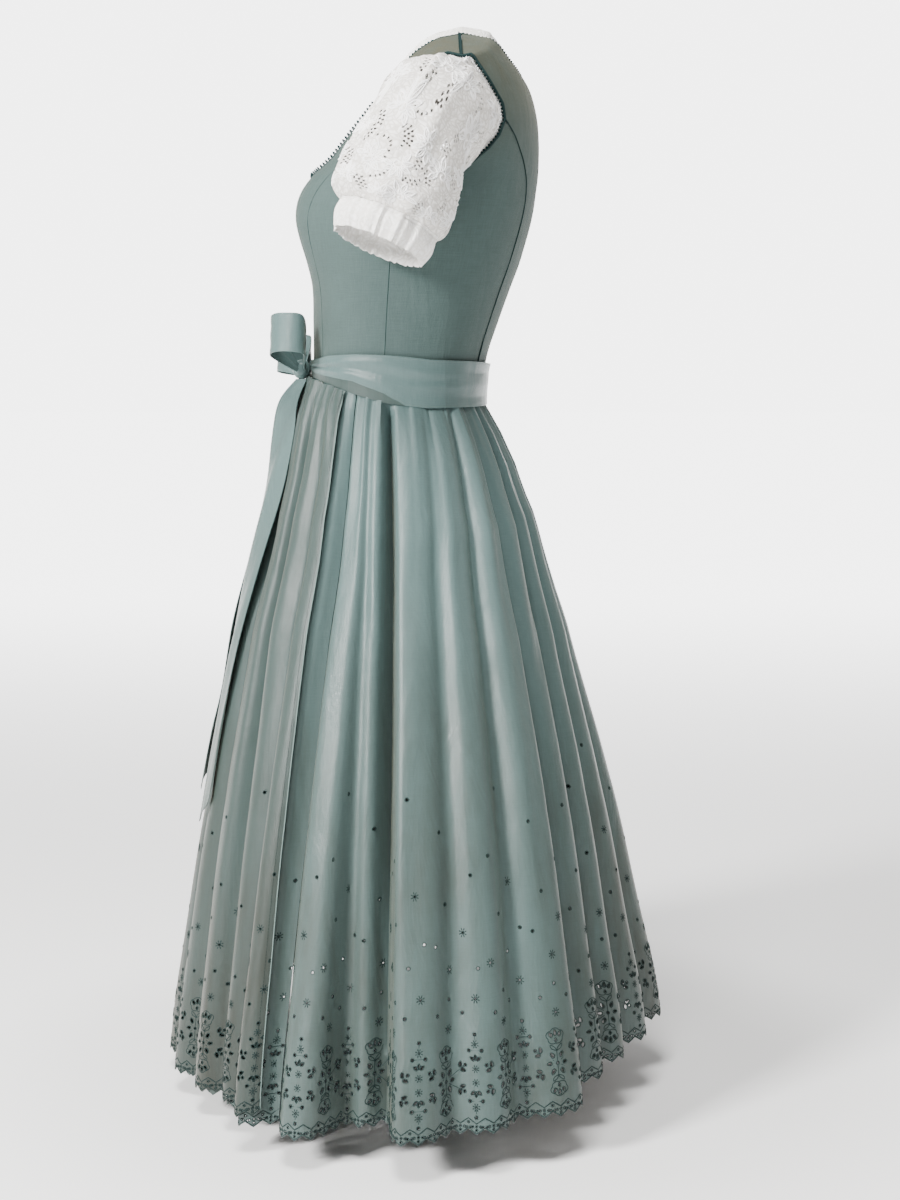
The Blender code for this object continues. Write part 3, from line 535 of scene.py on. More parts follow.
def picots(points, away, half_width, reach, thick):
    """Tiny thread loops, one at each point of an edge, standing away from it."""
    turns = np.linspace(0, math.pi, 5)
    parts = []
    for p, t, a in zip(points, frames_along(points), away):
        loop = [p + t * half_width * math.cos(turn) + a * reach * math.sin(turn) for turn in turns]
        parts.append(tube(loop, thick, 4, np.cross(t, a)))
    return joined(parts)


def trim(node_name, name, material, parts):
    TRIMS.setdefault(node_name, []).append(new_object(name, *joined(parts), material))


# ---- the eyelet embroidery, drawn flat: x along the hem, y up from the notches of its teeth ----

REPEAT = 67.0
TEETH_PER_REPEAT = 4
TOOTH = REPEAT / TEETH_PER_REPEAT
TOOTH_REACH = 5.5
BAND_WIDTH = 10.5
PATTERN_TOP = 345.0
CELL_TOP = 735.0
MEDALLION_PLACE = 0.372
MEDALLION_HEIGHT = 47.0
SPRAY_HEIGHT = 50.5
Hole = namedtuple("Hole", "x y long wide deg")
Stitch = namedtuple("Stitch", "points width height")


def edge_height(x):
    """The hem's zigzag: 0 at the notches and -TOOTH_REACH at the tips."""
    return -TOOTH_REACH * (1 - np.abs(2 * (np.asarray(x, float) / TOOTH % 1) - 1))


class Pattern:
    """Holes and raised lines of stitches."""

    def __init__(self):
        self.holes, self.lines = [], []

    def hole(self, x, y, long, wide, deg=0):
        self.holes.append(Hole(x, y, long, wide, deg))

    def leaf(self, x, y, deg, distance, long, wide):
        """An oval hole that points away from (x, y)."""
        turn = math.radians(deg)
        self.hole(x + distance * math.cos(turn), y + distance * math.sin(turn), long, wide, deg)

    def line(self, points, width, height=0.35):
        self.lines.append(Stitch(np.array(points), width, height))

    def star(self, x, y, reach, hole):
        """A small flower: a round hole with short stitches round it."""
        self.hole(x, y, hole, hole)
        for k in range(8):
            turn = 2 * math.pi * (k + 0.5) / 8
            radii = (hole + 1.3, hole + 1.3 + reach)
            self.line([(x + r * math.cos(turn), y + r * math.sin(turn)) for r in radii], 1.1)

    def blossom(self, x, y, size, up):
        """A five-petalled head on the medallion's stem, with two slim leaves under it; up is 1 or -1."""
        self.hole(x, y + 3.6 * up * size, 2.5 * size, 1.45 * size, 90)
        self.hole(x - 5.2 * size, y + 1.9 * up * size, 2.3 * size, 1.35 * size, 128 * up)
        self.hole(x + 5.2 * size, y + 1.9 * up * size, 2.3 * size, 1.35 * size, 52 * up)
        self.hole(x, y - 3.6 * up * size, 1.4 * size, 1.05 * size, 90)
        turn = np.linspace(0, 2 * math.pi, 36)
        swell = 1 + 0.2 * np.abs(np.sin(turn * 5 / 2))
        turn = turn + math.radians(90 * up + 36)
        petals = (x + 8.6 * size * swell * np.cos(turn), y + 6.6 * size * swell * np.sin(turn))
        self.line(np.stack(petals, axis=1), 0.85)
        leaf_edge = np.array([(0, -14.0), (2.0, -10.4), (6.6, -8.0), (5.4, -11.8), (0, -14.0)])
        for side in (-1, 1):
            self.line(cubic(leaf_edge * (side * size, up * size) + (x, y), np.linspace(0, 4, 13)), 0.8)

    def medallion(self, x, y):
        self.hole(x, y, 1.2, 1.2)
        for way in (1, -1):
            self.line([(x, y + way * 2.2), (x, y + way * 13.5)], 0.8)
        for distance, long, wide, *turns in ((9.6, 2.7, 1.55, 57, 123, 237, 303), (8.6, 2.2, 1.3, 0, 180)):
            for deg in turns:
                self.leaf(x, y, deg, distance, long, wide)
        for across, up in ((-22.5, 13.5), (-21.5, -11.5), (22.5, 13.5), (21.5, -11.5)):
            self.branch(x, y, across, up)
        self.blossom(x, y + 26.0, 1.0, 1)
        self.blossom(x, y - 24.5, 0.94, -1)

    def branch(self, x, y, across, up):
        """A slanting stem with an eyelet at its tip and two leaves."""
        tip = np.array((x + across, y + up))
        start = np.array((x + math.copysign(4.0, across), y + up * 0.2))
        way = (tip - start) / np.linalg.norm(tip - start)
        self.line([start, tip - way * 1.6], 0.75)
        self.hole(*tip, 1.25, 1.25)
        deg = math.degrees(math.atan2(way[1], way[0]))
        for lean in (52, -52):
            self.leaf(*(start + (tip - start) * 0.68), deg + lean, 4.0, 2.5, 1.5)

    def spray(self, x, y):
        """The slim upright branch between two medallions."""
        self.line([(x, y - 36), (x, y + 38)], 0.7, 0.3)
        for up in (1, -1):
            self.hole(x, y + 39.5 * up, 1.3, 1.3)
            self.star(x, y + 30 * up, 2.0, 0.8)
            self.line([(x - 5.0, y + 24 * up), (x + 5.0, y + 24 * up)], 0.7, 0.3)
            self.hole(x - 6.6, y + 24 * up, 1.35, 1.35)
            self.hole(x + 6.6, y + 24 * up, 1.35, 1.35)
            for deg, distance in ((90, 3.6), (35, 4.0), (145, 4.0)):
                self.leaf(x, y + 14 * up, deg * up, distance, 2.3, 1.2)
            self.star(x, y + 6.5 * up, 1.8, 0.7)

    def border(self):
        """The band along the teeth: two zigzag lines and small round holes between them."""
        x = np.linspace(0, REPEAT, TEETH_PER_REPEAT * 8 + 1)
        for lift, width in ((1.1, 1.0), (BAND_WIDTH, 1.2)):
            self.line(np.stack((x, edge_height(x) + lift), axis=1), width, 0.45)
        eyelets = ((0.0, 6.6), (0.25, 4.9), (0.5, 4.4), (0.75, 4.9), (0.5, 8.0), (0.12, 3.0), (0.88, 3.0))
        for k in range(TEETH_PER_REPEAT):
            for share, lift in eyelets:
                at = (k + share) * TOOTH
                if 1.5 < at < REPEAT - 1.5:
                    self.hole(at, float(edge_height(at)) + lift, 0.8, 0.8)


# The small flowers (1) and plain eyelets (0) strewn above the border, on every other repeat in turn.
STREWN = (
    table(
        "x y flower",
        (4, 96, 1), (-12, 112, 0), (21, 110, 0), (6, 124, 0), (36, 124, 1), (8, 152, 1), (40, 153, 0),
        (-14, 178, 0), (24, 187, 1), (2, 216, 0), (35, 243, 0), (-6, 287, 0),
    ),
    table(
        "x y flower",
        (2, 98, 1), (-10, 109, 0), (19, 113, 0), (5, 127, 0), (35, 130, 1), (-13, 157, 1), (22, 160, 0),
        (39, 182, 0), (4, 201, 0), (28, 228, 1), (-9, 260, 0), (19, 322, 0),
    ),
)
# How much the cloth narrows by the top of the pattern; the holes above the border are drawn wider for it.
SQUEEZE = 0.36
WIDER_ABOVE = 90


def repeat_pattern(strewn):
    """The holes and the raised lines of one repeat of the whole embroidery."""
    middle = REPEAT * MEDALLION_PLACE
    pattern = Pattern()
    pattern.border()
    pattern.medallion(middle, MEDALLION_HEIGHT)
    pattern.spray(middle + REPEAT / 2, SPRAY_HEIGHT)
    for spot in strewn:
        x = (middle + spot.x) % REPEAT
        if spot.flower:
            pattern.star(x, spot.y, 2.4, 1.0)
        else:
            pattern.hole(x, spot.y, 1.3, 1.3)
    wider = [1 + (h.y >= WIDER_ABOVE) * SQUEEZE * h.y / PATTERN_TOP for h in pattern.holes]
    holes = [h._replace(long=h.long * factor) for h, factor in zip(pattern.holes, wider)]
    return [h for h in holes if h.long * 1.2 < h.x < REPEAT - h.long * 1.2], pattern.lines


def turned(x, y, deg):
    c, s = math.cos(math.radians(deg)), math.sin(math.radians(deg))
    return np.stack((x * c - y * s, x * s + y * c), axis=-1)


def hole_outline(hole, grow=0.0, count=None):
    count = count or (10 if hole.long > 2 else 8 if hole.long > 1 else 6)
    turn = np.linspace(0, 2 * math.pi, count, endpoint=False)
    x, y = (hole.long + grow) * np.cos(turn), (hole.wide + grow) * np.sin(turn)
    if hole.long > hole.wide * 1.3:
        y = y * (1 - 0.25 * np.cos(turn))
    return turned(x, y, hole.deg) + (hole.x, hole.y)


def inside_holes(points, holes, grow):
    """Which points lie in one of the holes, each made larger by grow."""
    inside = np.zeros(len(points), bool)
    for hole in holes:
        along, across = turned(*(points - (hole.x, hole.y)).T, -hole.deg).T
        inside |= (along / (hole.long + grow)) ** 2 + (across / (hole.wide + grow)) ** 2 < 1
    return inside


def cut_cell(holes, width, edge, rows, columns):
    """Flat cloth with holes: its points and triangles; edge is the lower outline, rows the grid's heights."""
    inner = np.array([(x, y) for y in rows for x in columns])
    keep = ~inside_holes(inner, holes, 1.1) & (inner[:, 1] > np.interp(inner[:, 0], *edge.T) + 1.5)
    keep &= (inner[:, 0] > 0.5) & (inner[:, 0] < width - 0.5)
    points = [*edge, *((x, y) for y in rows if y > 0.5 for x in (0.0, width)), *inner[keep]]
    edges = [(k, k + 1) for k in range(len(edge) - 1)]
    for hole in holes:
        ring = hole_outline(hole)
        base = len(points)
        points += [*ring]
        edges += [(base + k, base + (k + 1) % len(ring)) for k in range(len(ring))]
    verts, _, faces, *_ = delaunay_2d_cdt([Vector(p) for p in points], edges, [], 0, 1e-6, False)
    verts, faces = np.array([tuple(v) for v in verts]), np.array([tuple(f) for f in faces])
    centre = verts[faces].mean(axis=1)
    faces = faces[(centre[:, 1] > np.interp(centre[:, 0], *edge.T)) & ~inside_holes(centre, holes, -0.02)]
    a, b, c = (verts[faces[:, k]] for k in range(3))
    area = (b[:, 0] - a[:, 0]) * (c[:, 1] - a[:, 1]) - (b[:, 1] - a[:, 1]) * (c[:, 0] - a[:, 0])
    faces, area = faces[np.abs(area) > 1e-5], area[np.abs(area) > 1e-5]
    faces[area < 0] = faces[area < 0][:, ::-1]
    used, faces = np.unique(faces, return_inverse=True)
    return verts[used], faces.reshape(-1, 3)


def side_points(verts, width):
    """The points on the left and the right side of a flat cell, from the bottom up."""
    sides = np.flatnonzero(verts[:, 0] < 1e-4), np.flatnonzero(verts[:, 0] > width - 1e-4)
    return [side[np.argsort(verts[side, 1])] for side in sides]


RING_RISE = 0.4
RING_SPREAD = 0.95


def rims(holes):
    """Raised satin-stitch rings round the holes: points (x, y, out) and faces."""
    parts = []
    for hole in holes:
        count = 10 if hole.long > 2 else 8
        rings = ((0.0, 0.1), (RING_SPREAD * 0.45, RING_RISE), (RING_SPREAD, 0.02))
        outlines = [(hole_outline(hole, grow, count), np.full(count, out)) for grow, out in rings]
        verts = [np.column_stack(outline) for outline in outlines]
        parts.append((np.concatenate(verts), grid_faces(3, count, True)))
    return joined(parts)


def stitched(lines):
    """Raised lines of satin stitch: points (x, y, out) and faces."""
    parts = []
    for line in lines:
        tangent = frames_along(line.points)
        side = np.stack((-tangent[:, 1], tangent[:, 0]), axis=1)
        rows = []
        for across, out in ((0.5, 0.02), (0.0, line.height), (-0.5, 0.02)):
            points = line.points + side * line.width * across
            rows.append(np.column_stack((points, np.full(len(points), out))))
        verts = np.stack(rows, axis=1).reshape(-1, 3)
        parts.append((verts, turned_over(grid_faces(len(line.points), 3))))
    return joined(parts)


def lay_cells(sheet, cells, chosen):
    """Flat cells side by side over a whole sheet; chosen names the cell of each repeat by its number."""
    step = sheet.length / len(chosen)
    stretch = (sheet.height - PATTERN_TOP) / (CELL_TOP - PATTERN_TOP)
    s, y, faces, base, seam = [], [], [], 0, None
    for k, which in enumerate(chosen):
        verts, cell_faces = cells[which]
        left, right = side_points(verts, REPEAT)
        target = np.arange(len(verts)) + base
        if seam is not None:
            target[left] = seam
        faces.append(target[cell_faces])
        above = verts[:, 1] - PATTERN_TOP
        s.append((k + verts[:, 0] / REPEAT) * step)
        y.append(np.where(above < 0, verts[:, 1], PATTERN_TOP + above * stretch))
        seam = target[right]
        base += len(verts)
    return np.concatenate(s), np.concatenate(y), np.concatenate(faces)


# ---- materials ----

def node(tree, kind, *values, **named):
    """A new node; its inputs, in their order or by name, are numbers, colours or other nodes' sockets."""
    made = tree.nodes.new("ShaderNode" + kind)
    wanted = list(zip(made.inputs, values))
    wanted += [(made.inputs[key.replace("_", " ")], named[key]) for key in named]
    for socket, value in wanted:
        if isinstance(value, bpy.types.NodeSocket):
            tree.links.new(value, socket)
        else:
            socket.default_value = value
    return made


def calculated(tree, operation, *values):
    made = node(tree, "Math", *values)
    made.operation = operation
    return made.outputs[0]


def map_range(tree, source, *limits):
    """A smooth step; the limits are the source's low and high and the result's values there."""
    made = node(tree, "MapRange", source, *limits)
    made.interpolation_type = "SMOOTHSTEP"
    return made.outputs["Result"]


def mapped_noise(tree, source, scale, **settings):
    """A noise texture whose space is stretched by its own scale along each axis."""
    stretch = node(tree, "Mapping", Vector=source, Scale=scale).outputs["Vector"]
    return node(tree, "TexNoise", Vector=stretch, Scale=1.0, **settings).outputs["Fac"]


def ramp(tree, source, *stops):
    """A colour ramp with two stops, each a position and a colour."""
    made = node(tree, "ValToRGB", source)
    for element, (position, colour) in zip(made.color_ramp.elements, stops):
        element.position = position
        element.color = (*colour, 1)
    return made.outputs["Color"]


def bump(tree, height, strength, distance, **normal):
    return node(tree, "Bump", Height=height, Strength=strength, Distance=distance, **normal).outputs["Normal"]


def shader_of(name, **settings):
    """A new material, its node tree, its Principled shader's inputs (some set) and its coordinates."""
    material = bpy.data.materials.new(name)
    material.use_nodes = True
    shader = material.node_tree.nodes["Principled BSDF"]
    for key, value in settings.items():
        shader.inputs[key.replace("_", " ")].default_value = value
    return material, material.node_tree, shader.inputs, node(material.node_tree, "TexCoord").outputs


# The noise of the threads and of the slubs, along and across the cloth.
THREAD_SCALES = ((3000.0, 220.0, 1.0), (220.0, 3000.0, 1.0))
SLUB_SCALES = ((950.0, 50.0, 1.0), (50.0, 950.0, 1.0))


def woven(name, colour, shade, warm_tone_and_painted_light, painted_light_heights, roughness, sheen, sheen_tint, thread, crease):
    """Shot cloth: threads, slubs, soft creases and a sheen, with a warm colour in random patches, weighted by
    height as painted shade or a painted warm sheen.
    """
    material, tree, shader, place = shader_of(
        name, Roughness=roughness, Sheen_Weight=sheen, Sheen_Roughness=0.4, Sheen_Tint=(*sheen_tint, 1),
        Specular_IOR_Level=0.32,
    )
    flat, solid = place["UV"], place["Object"]
    threads, slubs = (
        calculated(tree, "ADD", *(mapped_noise(tree, flat, scale, Detail=detail) for scale in scales))
        for scales, detail in ((THREAD_SCALES, 2.0), (SLUB_SCALES, 3.0))
    )
    tone = calculated(tree, "MULTIPLY_ADD", threads, 0.18, calculated(tree, "MULTIPLY", slubs, 0.32))
    cool = ramp(tree, tone, (0.40, shade), (0.60, colour))
    # The warm colour's weight by height: painted shade towards the hem on the skirt and apron, and a painted
    # warm sheen towards the shoulders on the bodice. The noise below spreads it in random patches.
    height = map_range(tree, node(tree, "SeparateXYZ", solid).outputs["Z"], *painted_light_heights)
    cloud = mapped_noise(tree, solid, (7.0, 7.0, 2.6), Detail=3.0)
    streaks = mapped_noise(tree, solid, (70.0, 70.0, 4.0), Detail=4.0, Roughness=0.6)
    cloud = calculated(tree, "MULTIPLY", cloud, calculated(tree, "MULTIPLY_ADD", streaks, 1.2, 0.4))
    patches = calculated(tree, "MULTIPLY", height, calculated(tree, "MULTIPLY", cloud, 1.6))
    tree.links.new(node(tree, "MixRGB", patches, cool, (*warm_tone_and_painted_light, 1)).outputs["Color"], shader["Base Color"])
    fine = bump(tree, threads, thread, 0.0004)
    soft = mapped_noise(tree, solid, (30.0, 30.0, 9.0), Detail=3.0, Roughness=0.55, Distortion=0.6)
    tree.links.new(bump(tree, soft, crease, 0.008, Normal=fine), shader["Normal"])
    return material


def threadwork(name, colour, roughness=0.6):
    """Embroidery thread: fine ridges and a slight gloss."""
    material, tree, shader, place = shader_of(
        name, Roughness=roughness, Specular_IOR_Level=0.15, Base_Color=(*colour, 1),
    )
    ridges = node(tree, "TexNoise", Vector=place["Object"], Scale=2400.0, Detail=1.0).outputs["Fac"]
    tree.links.new(bump(tree, ridges, 0.5, 0.0003), shader["Normal"])
    return material


def lace_cloth(name, colour, shade):
    """White embroidered batiste: a raised pattern of petals on a fine cloth, with painted shade in the
    grooves between them.
    """
    material, tree, shader, place = shader_of(name, Roughness=0.7)
    solid = place["Object"]
    bend = node(tree, "TexNoise", Vector=solid, Scale=45.0, Detail=2.0).outputs["Color"]
    bent = node(tree, "MixRGB", 0.03, solid, bend).outputs["Color"]
    petals = node(tree, "TexVoronoi", Vector=bent, Scale=170.0)
    petals.feature = "DISTANCE_TO_EDGE"
    petals = petals.outputs["Distance"]
    # Painted shade: the colour darkens from the petals' tops into the grooves between them.
    tree.links.new(ramp(tree, petals, (0.02, shade), (0.22, colour)), shader["Base Color"])
    raised = bump(tree, petals, 0.8, 0.0014)
    fine = node(tree, "TexNoise", Vector=solid, Scale=700.0, Detail=2.0).outputs["Fac"]
    tree.links.new(bump(tree, fine, 0.35, 0.0005, Normal=raised), shader["Normal"])
    return material


# Warm colours of the shot cloth, mixed in by height. They are partly the cloth's random tone and partly
# painted light: a warm sheen on the bodice's shoulders, and shade towards the skirt's and the apron's hems.
OLIVE_TONE_AND_SHEEN = (0.060, 0.060, 0.039)
UMBER_TONE_AND_SHADE = (0.032, 0.032, 0.024)
DUSK_TONE_AND_SHADE = (0.029, 0.033, 0.027)
LINEN = woven(
    "linen", (0.052, 0.084, 0.080), (0.040, 0.066, 0.063), OLIVE_TONE_AND_SHEEN, (-0.15, -0.02, 0.0, 0.95),
    0.75, 0.2, (0.44, 0.42, 0.32), 0.6, 0.22,
)
SATIN = woven(
    "satin_cotton", (0.084, 0.134, 0.132), (0.070, 0.114, 0.112), UMBER_TONE_AND_SHADE, (-0.92, -0.42, 0.62, 0.05),
    0.36, 0.15, (0.50, 0.46, 0.34), 0.25, 0.24,
)
APRON_CLOTH = woven(
    "apron_cotton", (0.049, 0.079, 0.075), (0.040, 0.064, 0.061), DUSK_TONE_AND_SHADE, (-1.06, -0.58, 1.0, 0.36),
    0.38, 0.15, (0.52, 0.44, 0.30), 0.25, 0.22,
)
THREAD = threadwork("dark_thread", (0.010, 0.022, 0.021))
PIPING = threadwork("piping", (0.008, 0.022, 0.022), 0.8)
PALE_THREAD = threadwork("pale_thread", (0.13, 0.18, 0.17))
# The second colour of each lace is the painted shade in its grooves.
LACE = lace_cloth("white_lace", (0.86, 0.84, 0.81), (0.60, 0.57, 0.53))
# The sleeves' inner faces: the same lace, darker, as painted shade.
LACE_SHADED_INSIDE = lace_cloth("white_lace_inside", (0.50, 0.48, 0.46), (0.38, 0.36, 0.34))
BATISTE = lace_cloth("white_batiste", (0.92, 0.91, 0.89), (0.78, 0.76, 0.72))
WHITE_THREAD = threadwork("white_thread", (0.97, 0.965, 0.96), 0.7)


# ---- bodice ----

def refined(heights):
    """The same heights with more between them, from the highest down."""
    pairs = list(zip(heights, heights[1:]))
    steps = [np.linspace(a, b, max(1, round(abs(b - a) / ROW_STEP)) + 1)[1:] for a, b in pairs]
    return np.concatenate([heights[:1], *steps])[::-1]


def front_edge(z):
    return np.where(z > NECKLINE[0].z, interpolate(NECKLINE, "deg", z), 0.0)


def curved_seam(rows, side):
    """A seam's angle as a function of height; above its end it is the armhole's edge."""
    return lambda z: np.where(z < rows[-1].z, interpolate(rows, "deg", z), armhole_angle(side, z))


def side_seam(side):
    return lambda z: np.where(z > ARMHOLE_BOTTOM, armhole_angle(side, z), SIDE_SEAM_DEG)


FRONT_LINE = curved_seam(FRONT_SEAM, "front_deg")
BACK_LINE = curved_seam(BACK_SEAM, "back_deg")


def panel_sheet(heights, start, end, columns):
    """A bodice panel between two edges, each an angle at a height."""
    z = refined(heights[1:])
    z = np.concatenate((z, np.linspace(z[-1], PANEL_FOOT, 6)[1:]))
    first, last = start(z), end(z)
    first, last = first + turn_for(SEAM_GAP / 2, first, z), last - turn_for(SEAM_GAP / 2, last, z)
    share = np.linspace(0, 1, columns)
    deg = first[:, None] * (1 - share) + last[:, None] * share
    return Sheet(on_torso(deg, np.broadcast_to(z[:, None], deg.shape)))


def front_sheet():
    return panel_sheet(FRONT_HEIGHTS + STRAP_HEIGHTS, front_edge, FRONT_LINE, 12)


def neck_dip(share, strap_share, depth):
    """How far the neckline lies under the shoulder, at shares of the way from the middle to the armhole."""
    return np.where(share < strap_share, depth * (1 - (share / strap_share) ** 2), 0.0)


def strap_share_of(inner, half_deg):
    return math.degrees(math.asin((inner / TORSO[0].half) ** (TORSO_POWER / 2))) / half_deg


STRAP_SHARE = strap_share_of(STRAP_INNER, 180 - ARMHOLE[0].back_deg)


def shares_across(strap_share):
    """Places across a whole front or back, armhole to armhole, close together at the neckline."""
    neck = cubic(NECK_SHARES, np.linspace(0, 5, 12)) * strap_share
    half = [*np.linspace(1.0, strap_share, 5)[:-1], *neck]
    return np.array(half + [0.0] + [-x for x in reversed(half)])


def back_centre_sheet():
    share = shares_across(STRAP_SHARE)
    z = refined(BACK_HEIGHTS[1:] + STRAP_HEIGHTS)
    z = np.concatenate((z, np.linspace(z[-1], PANEL_FOOT, 5)[1:]))
    edge = BACK_LINE(z)
    half = 180 - edge - turn_for(SEAM_GAP / 2, edge, z)
    deg = 180 - share[None, :] * half[:, None]
    top = neck_dip(np.abs(share), STRAP_SHARE, BACK_NECK_DEPTH)[None, :]
    bottom = BACK_HEIGHTS[0]
    return Sheet(on_torso(deg, top + z[:, None] * (bottom - top) / bottom))


def armhole_line(inset, out):
    """The left armhole's edge, from the shoulder tip over the back and round."""
    places = armhole_places(inset, ARMHOLE[-2::-1])
    return resample(on_torso(places[:, 0], places[:, 1], out), 3.0)


def outward(points):
    """The directions from the middle of some points to each of them."""
    away = points - points.mean(axis=0)
    return away / np.linalg.norm(away, axis=1, keepdims=True)


def build_bodice():
    panels = {
        "bodice_front_centre": front_sheet(),
        "bodice_front_side": panel_sheet(FRONT_HEIGHTS, FRONT_LINE, side_seam("front_deg"), 12),
        "bodice_back_side": panel_sheet(BACK_HEIGHTS, side_seam("back_deg"), BACK_LINE, 14),
    }
    for name, sheet in panels.items():
        plain_cloth(name + "_left", sheet, LINEN, LINEN_THICK)
        plain_cloth(name + "_right", mirrored(sheet), LINEN, LINEN_THICK)
    plain_cloth("bodice_back_centre", back_centre_sheet(), LINEN, LINEN_THICK)


def neckline():
    """The left half of the neckline: up the front panel's own edge and round the back."""
    front = front_sheet().points[:, 0]
    front = front[front[:, 2] > NECKLINE[0].z - 0.5]
    share = np.linspace(STRAP_SHARE, 0, 14)
    deg = 180 - share * (180 - float(BACK_LINE(np.array([SHOULDER_SEAM]))[0]))
    rear = on_torso(deg, neck_dip(share, STRAP_SHARE, BACK_NECK_DEPTH) + SHOULDER_SEAM, 0.3)
    return resample(np.vstack((front[np.argsort(front[:, 2])], rear)), 4.0)


# The radii of the piping.
SEAM_CORD = 0.4
BACK_SEAM_CORD = 0.75
CLOSING_CORD = 0.35
ARMHOLE_CORD = 1.35
NECK_CORD = 1.2
SHOULDER_CORD = 1.3


def build_bodice_trim():
    """Piping along the curved seams, the armholes and the neckline, with its tiny thread loops."""
    cords, loops = [], []
    for rows, out, radius in ((FRONT_SEAM, 0.35, SEAM_CORD), (BACK_SEAM, 0.8, BACK_SEAM_CORD)):
        places = cubic(rows, np.linspace(0, len(rows) - 1, len(rows) * 6))
        line = on_torso(places[:, 1], places[:, 0], out)
        cords.append(both_sides(*tube(resample(line[line[:, 2] > SEAM_END], 4), radius)))
    side = on_torso(np.full(40, SIDE_SEAM_DEG), np.linspace(ARMHOLE_BOTTOM, SEAM_END, 40), 0.5)
    cords.append(both_sides(*tube(side, SEAM_CORD)))
    hole = armhole_line(0.6, 0.7)
    cords.append(both_sides(*tube(hole, ARMHOLE_CORD)))
    hole = resample(hole, 3.8)
    loops.append(both_sides(*picots(hole, (0.6, 0, 0) - outward(hole), 0.8, 2.8, 0.6)))
    neck = neckline()
    cords.append(both_sides(*tube(neck, NECK_CORD)))
    toward = np.full(neck.shape, (-0.35, 0.65, 0.7))
    toward[:, 1] *= np.sign(neck[:, 1] + 20)
    toward[(neck[:, 1] > 0) | (neck[:, 2] > -70)] *= 0.45
    loops.append(both_sides(*picots(neck, toward, 0.9, 4.3, 0.7)))
    seam = resample(on_torso(np.linspace(NECKLINE[-1].deg, 71, 26), np.full(26, -0.3), 0.7), 2.6)
    cords.append(both_sides(*tube(seam, SHOULDER_CORD)))
    loops.append(both_sides(*picots(seam[::2], np.tile((0, -0.8, 0.6), (len(seam[::2]), 1)), 0.7, 3.0, 0.55)))
    closing = on_torso(np.zeros(30), np.linspace(-145, SEAM_END, 30), 0.4)
    cords.append(tube(closing, CLOSING_CORD))
    trim("bodice_back_centre", "bodice_piping", PIPING, cords)
    trim("bodice_back_centre", "bodice_picots", PIPING, loops)


# ---- skirt and apron ----

WAVE_FINE = 18
ROWS_FINE = 60
GATHER_PITCH_DEG = 5.6
GATHER_FALL = 0.24
GATHER_HEIGHT = 4.6
GATHER_VARIES = 1.8
PUCKER = 3.2

# Creases in the skirt and the apron: where each starts and ends (degrees round, share of the fall),
# how high it stands (a trough is negative) and how wide it is.
CREASES = table(
    "start_deg start end_deg end height width",
    (70, 0.05, 64, 0.42, -3.2, 9), (81, 0.02, 79, 0.30, 3.0, 7), (80, 0.25, 86, 0.38, 4.5, 8),
    (85.5, 0.10, 84.5, 0.72, -7.0, 6), (88, 0.30, 87, 0.85, 3.0, 4), (95, 0.0, 92, 0.26, 3.0, 6),
    (101, 0.18, 97, 0.62, -3.0, 12), (93, 0.30, 88, 0.70, 3.0, 10), (112, 0.0, 106, 0.40, 2.6, 6),
    (116, 0.10, 110, 0.75, -2.6, 12), (130, 0.0, 124, 0.35, 2.8, 6), (126, 0.30, 117, 0.80, 2.6, 9),
    (143, 0.05, 139, 0.45, 3.0, 8), (147, 0.25, 136, 0.50, -2.4, 8), (157, 0.0, 153, 0.38, 2.6, 7),
    (168, 0.05, 165, 0.50, 2.4, 8), (176, 0.1, 178, 0.6, -2.4, 9), (60, 0.45, 53, 0.85, -2.6, 12),
    (41, 0.08, 38, 0.50, 3.2, 10), (45, 0.30, 40, 0.80, -2.6, 12), (26, 0.10, 25, 0.55, -2.6, 9),
    (12, 0.12, 14, 0.60, 3.0, 10), (1, 0.15, 2, 0.50, -2.2, 9), (-9, 0.08, -13, 0.45, 2.8, 9),
    (-24, 0.20, -28, 0.66, -2.8, 10), (-44, 0.10, -40, 0.55, 2.8, 11), (-64, 0.05, -60, 0.48, -3.0, 10),
    (-74, 0.0, -70, 0.32, 3.0, 7), (-92, 0.05, -86, 0.42, 3.2, 8), (-99, 0.22, -93, 0.70, -3.0, 12),
    (-115, 0.0, -108, 0.38, 2.8, 7), (-121, 0.30, -112, 0.78, -2.6, 11), (-134, 0.0, -128, 0.36, 2.8, 7),
    (-145, 0.10, -138, 0.60, -2.6, 9), (-158, 0.0, -154, 0.42, 2.8, 7), (-170, 0.10, -168, 0.55, 2.4, 8),
)
# The pressed pleats under the belt: each is a step in the cloth whose edge runs down and fades.
PLEATS = table(
    "deg turn_deg end height open_to",
    (63, -3, 0.20, 3.2, 1), (73.5, -2, 0.30, 3.6, 1), (84, 0, 0.34, 4.2, -1), (97, -3, 0.30, 3.6, 1),
    (108, -5, 0.42, 3.8, -1), (120, -6, 0.30, 3.2, 1), (132, -5, 0.36, 3.6, -1), (145, -4, 0.30, 3.2, 1),
    (156, -3, 0.34, 3.4, -1), (167, -2, 0.26, 3.0, 1), (178, 0, 0.30, 3.4, 1), (-62, 3, 0.24, 3.2, -1),
    (-74, 2, 0.32, 3.8, 1), (-86, 1, 0.28, 3.6, -1), (-98, 3, 0.36, 3.6, 1), (-110, 5, 0.30, 3.4, -1),
    (-123, 5, 0.34, 3.6, 1), (-136, 4, 0.28, 3.2, -1), (-149, 3, 0.34, 3.4, 1), (-162, 3, 0.28, 3.2, -1),
    (-172, 1, 0.3, 3.0, 1),
)
PLEAT_STEP_DEG = 0.55
PLEAT_REACH_DEG = 8.0


def within(value):
    """A value held between 0 and 1."""
    return np.clip(value, 0, 1)


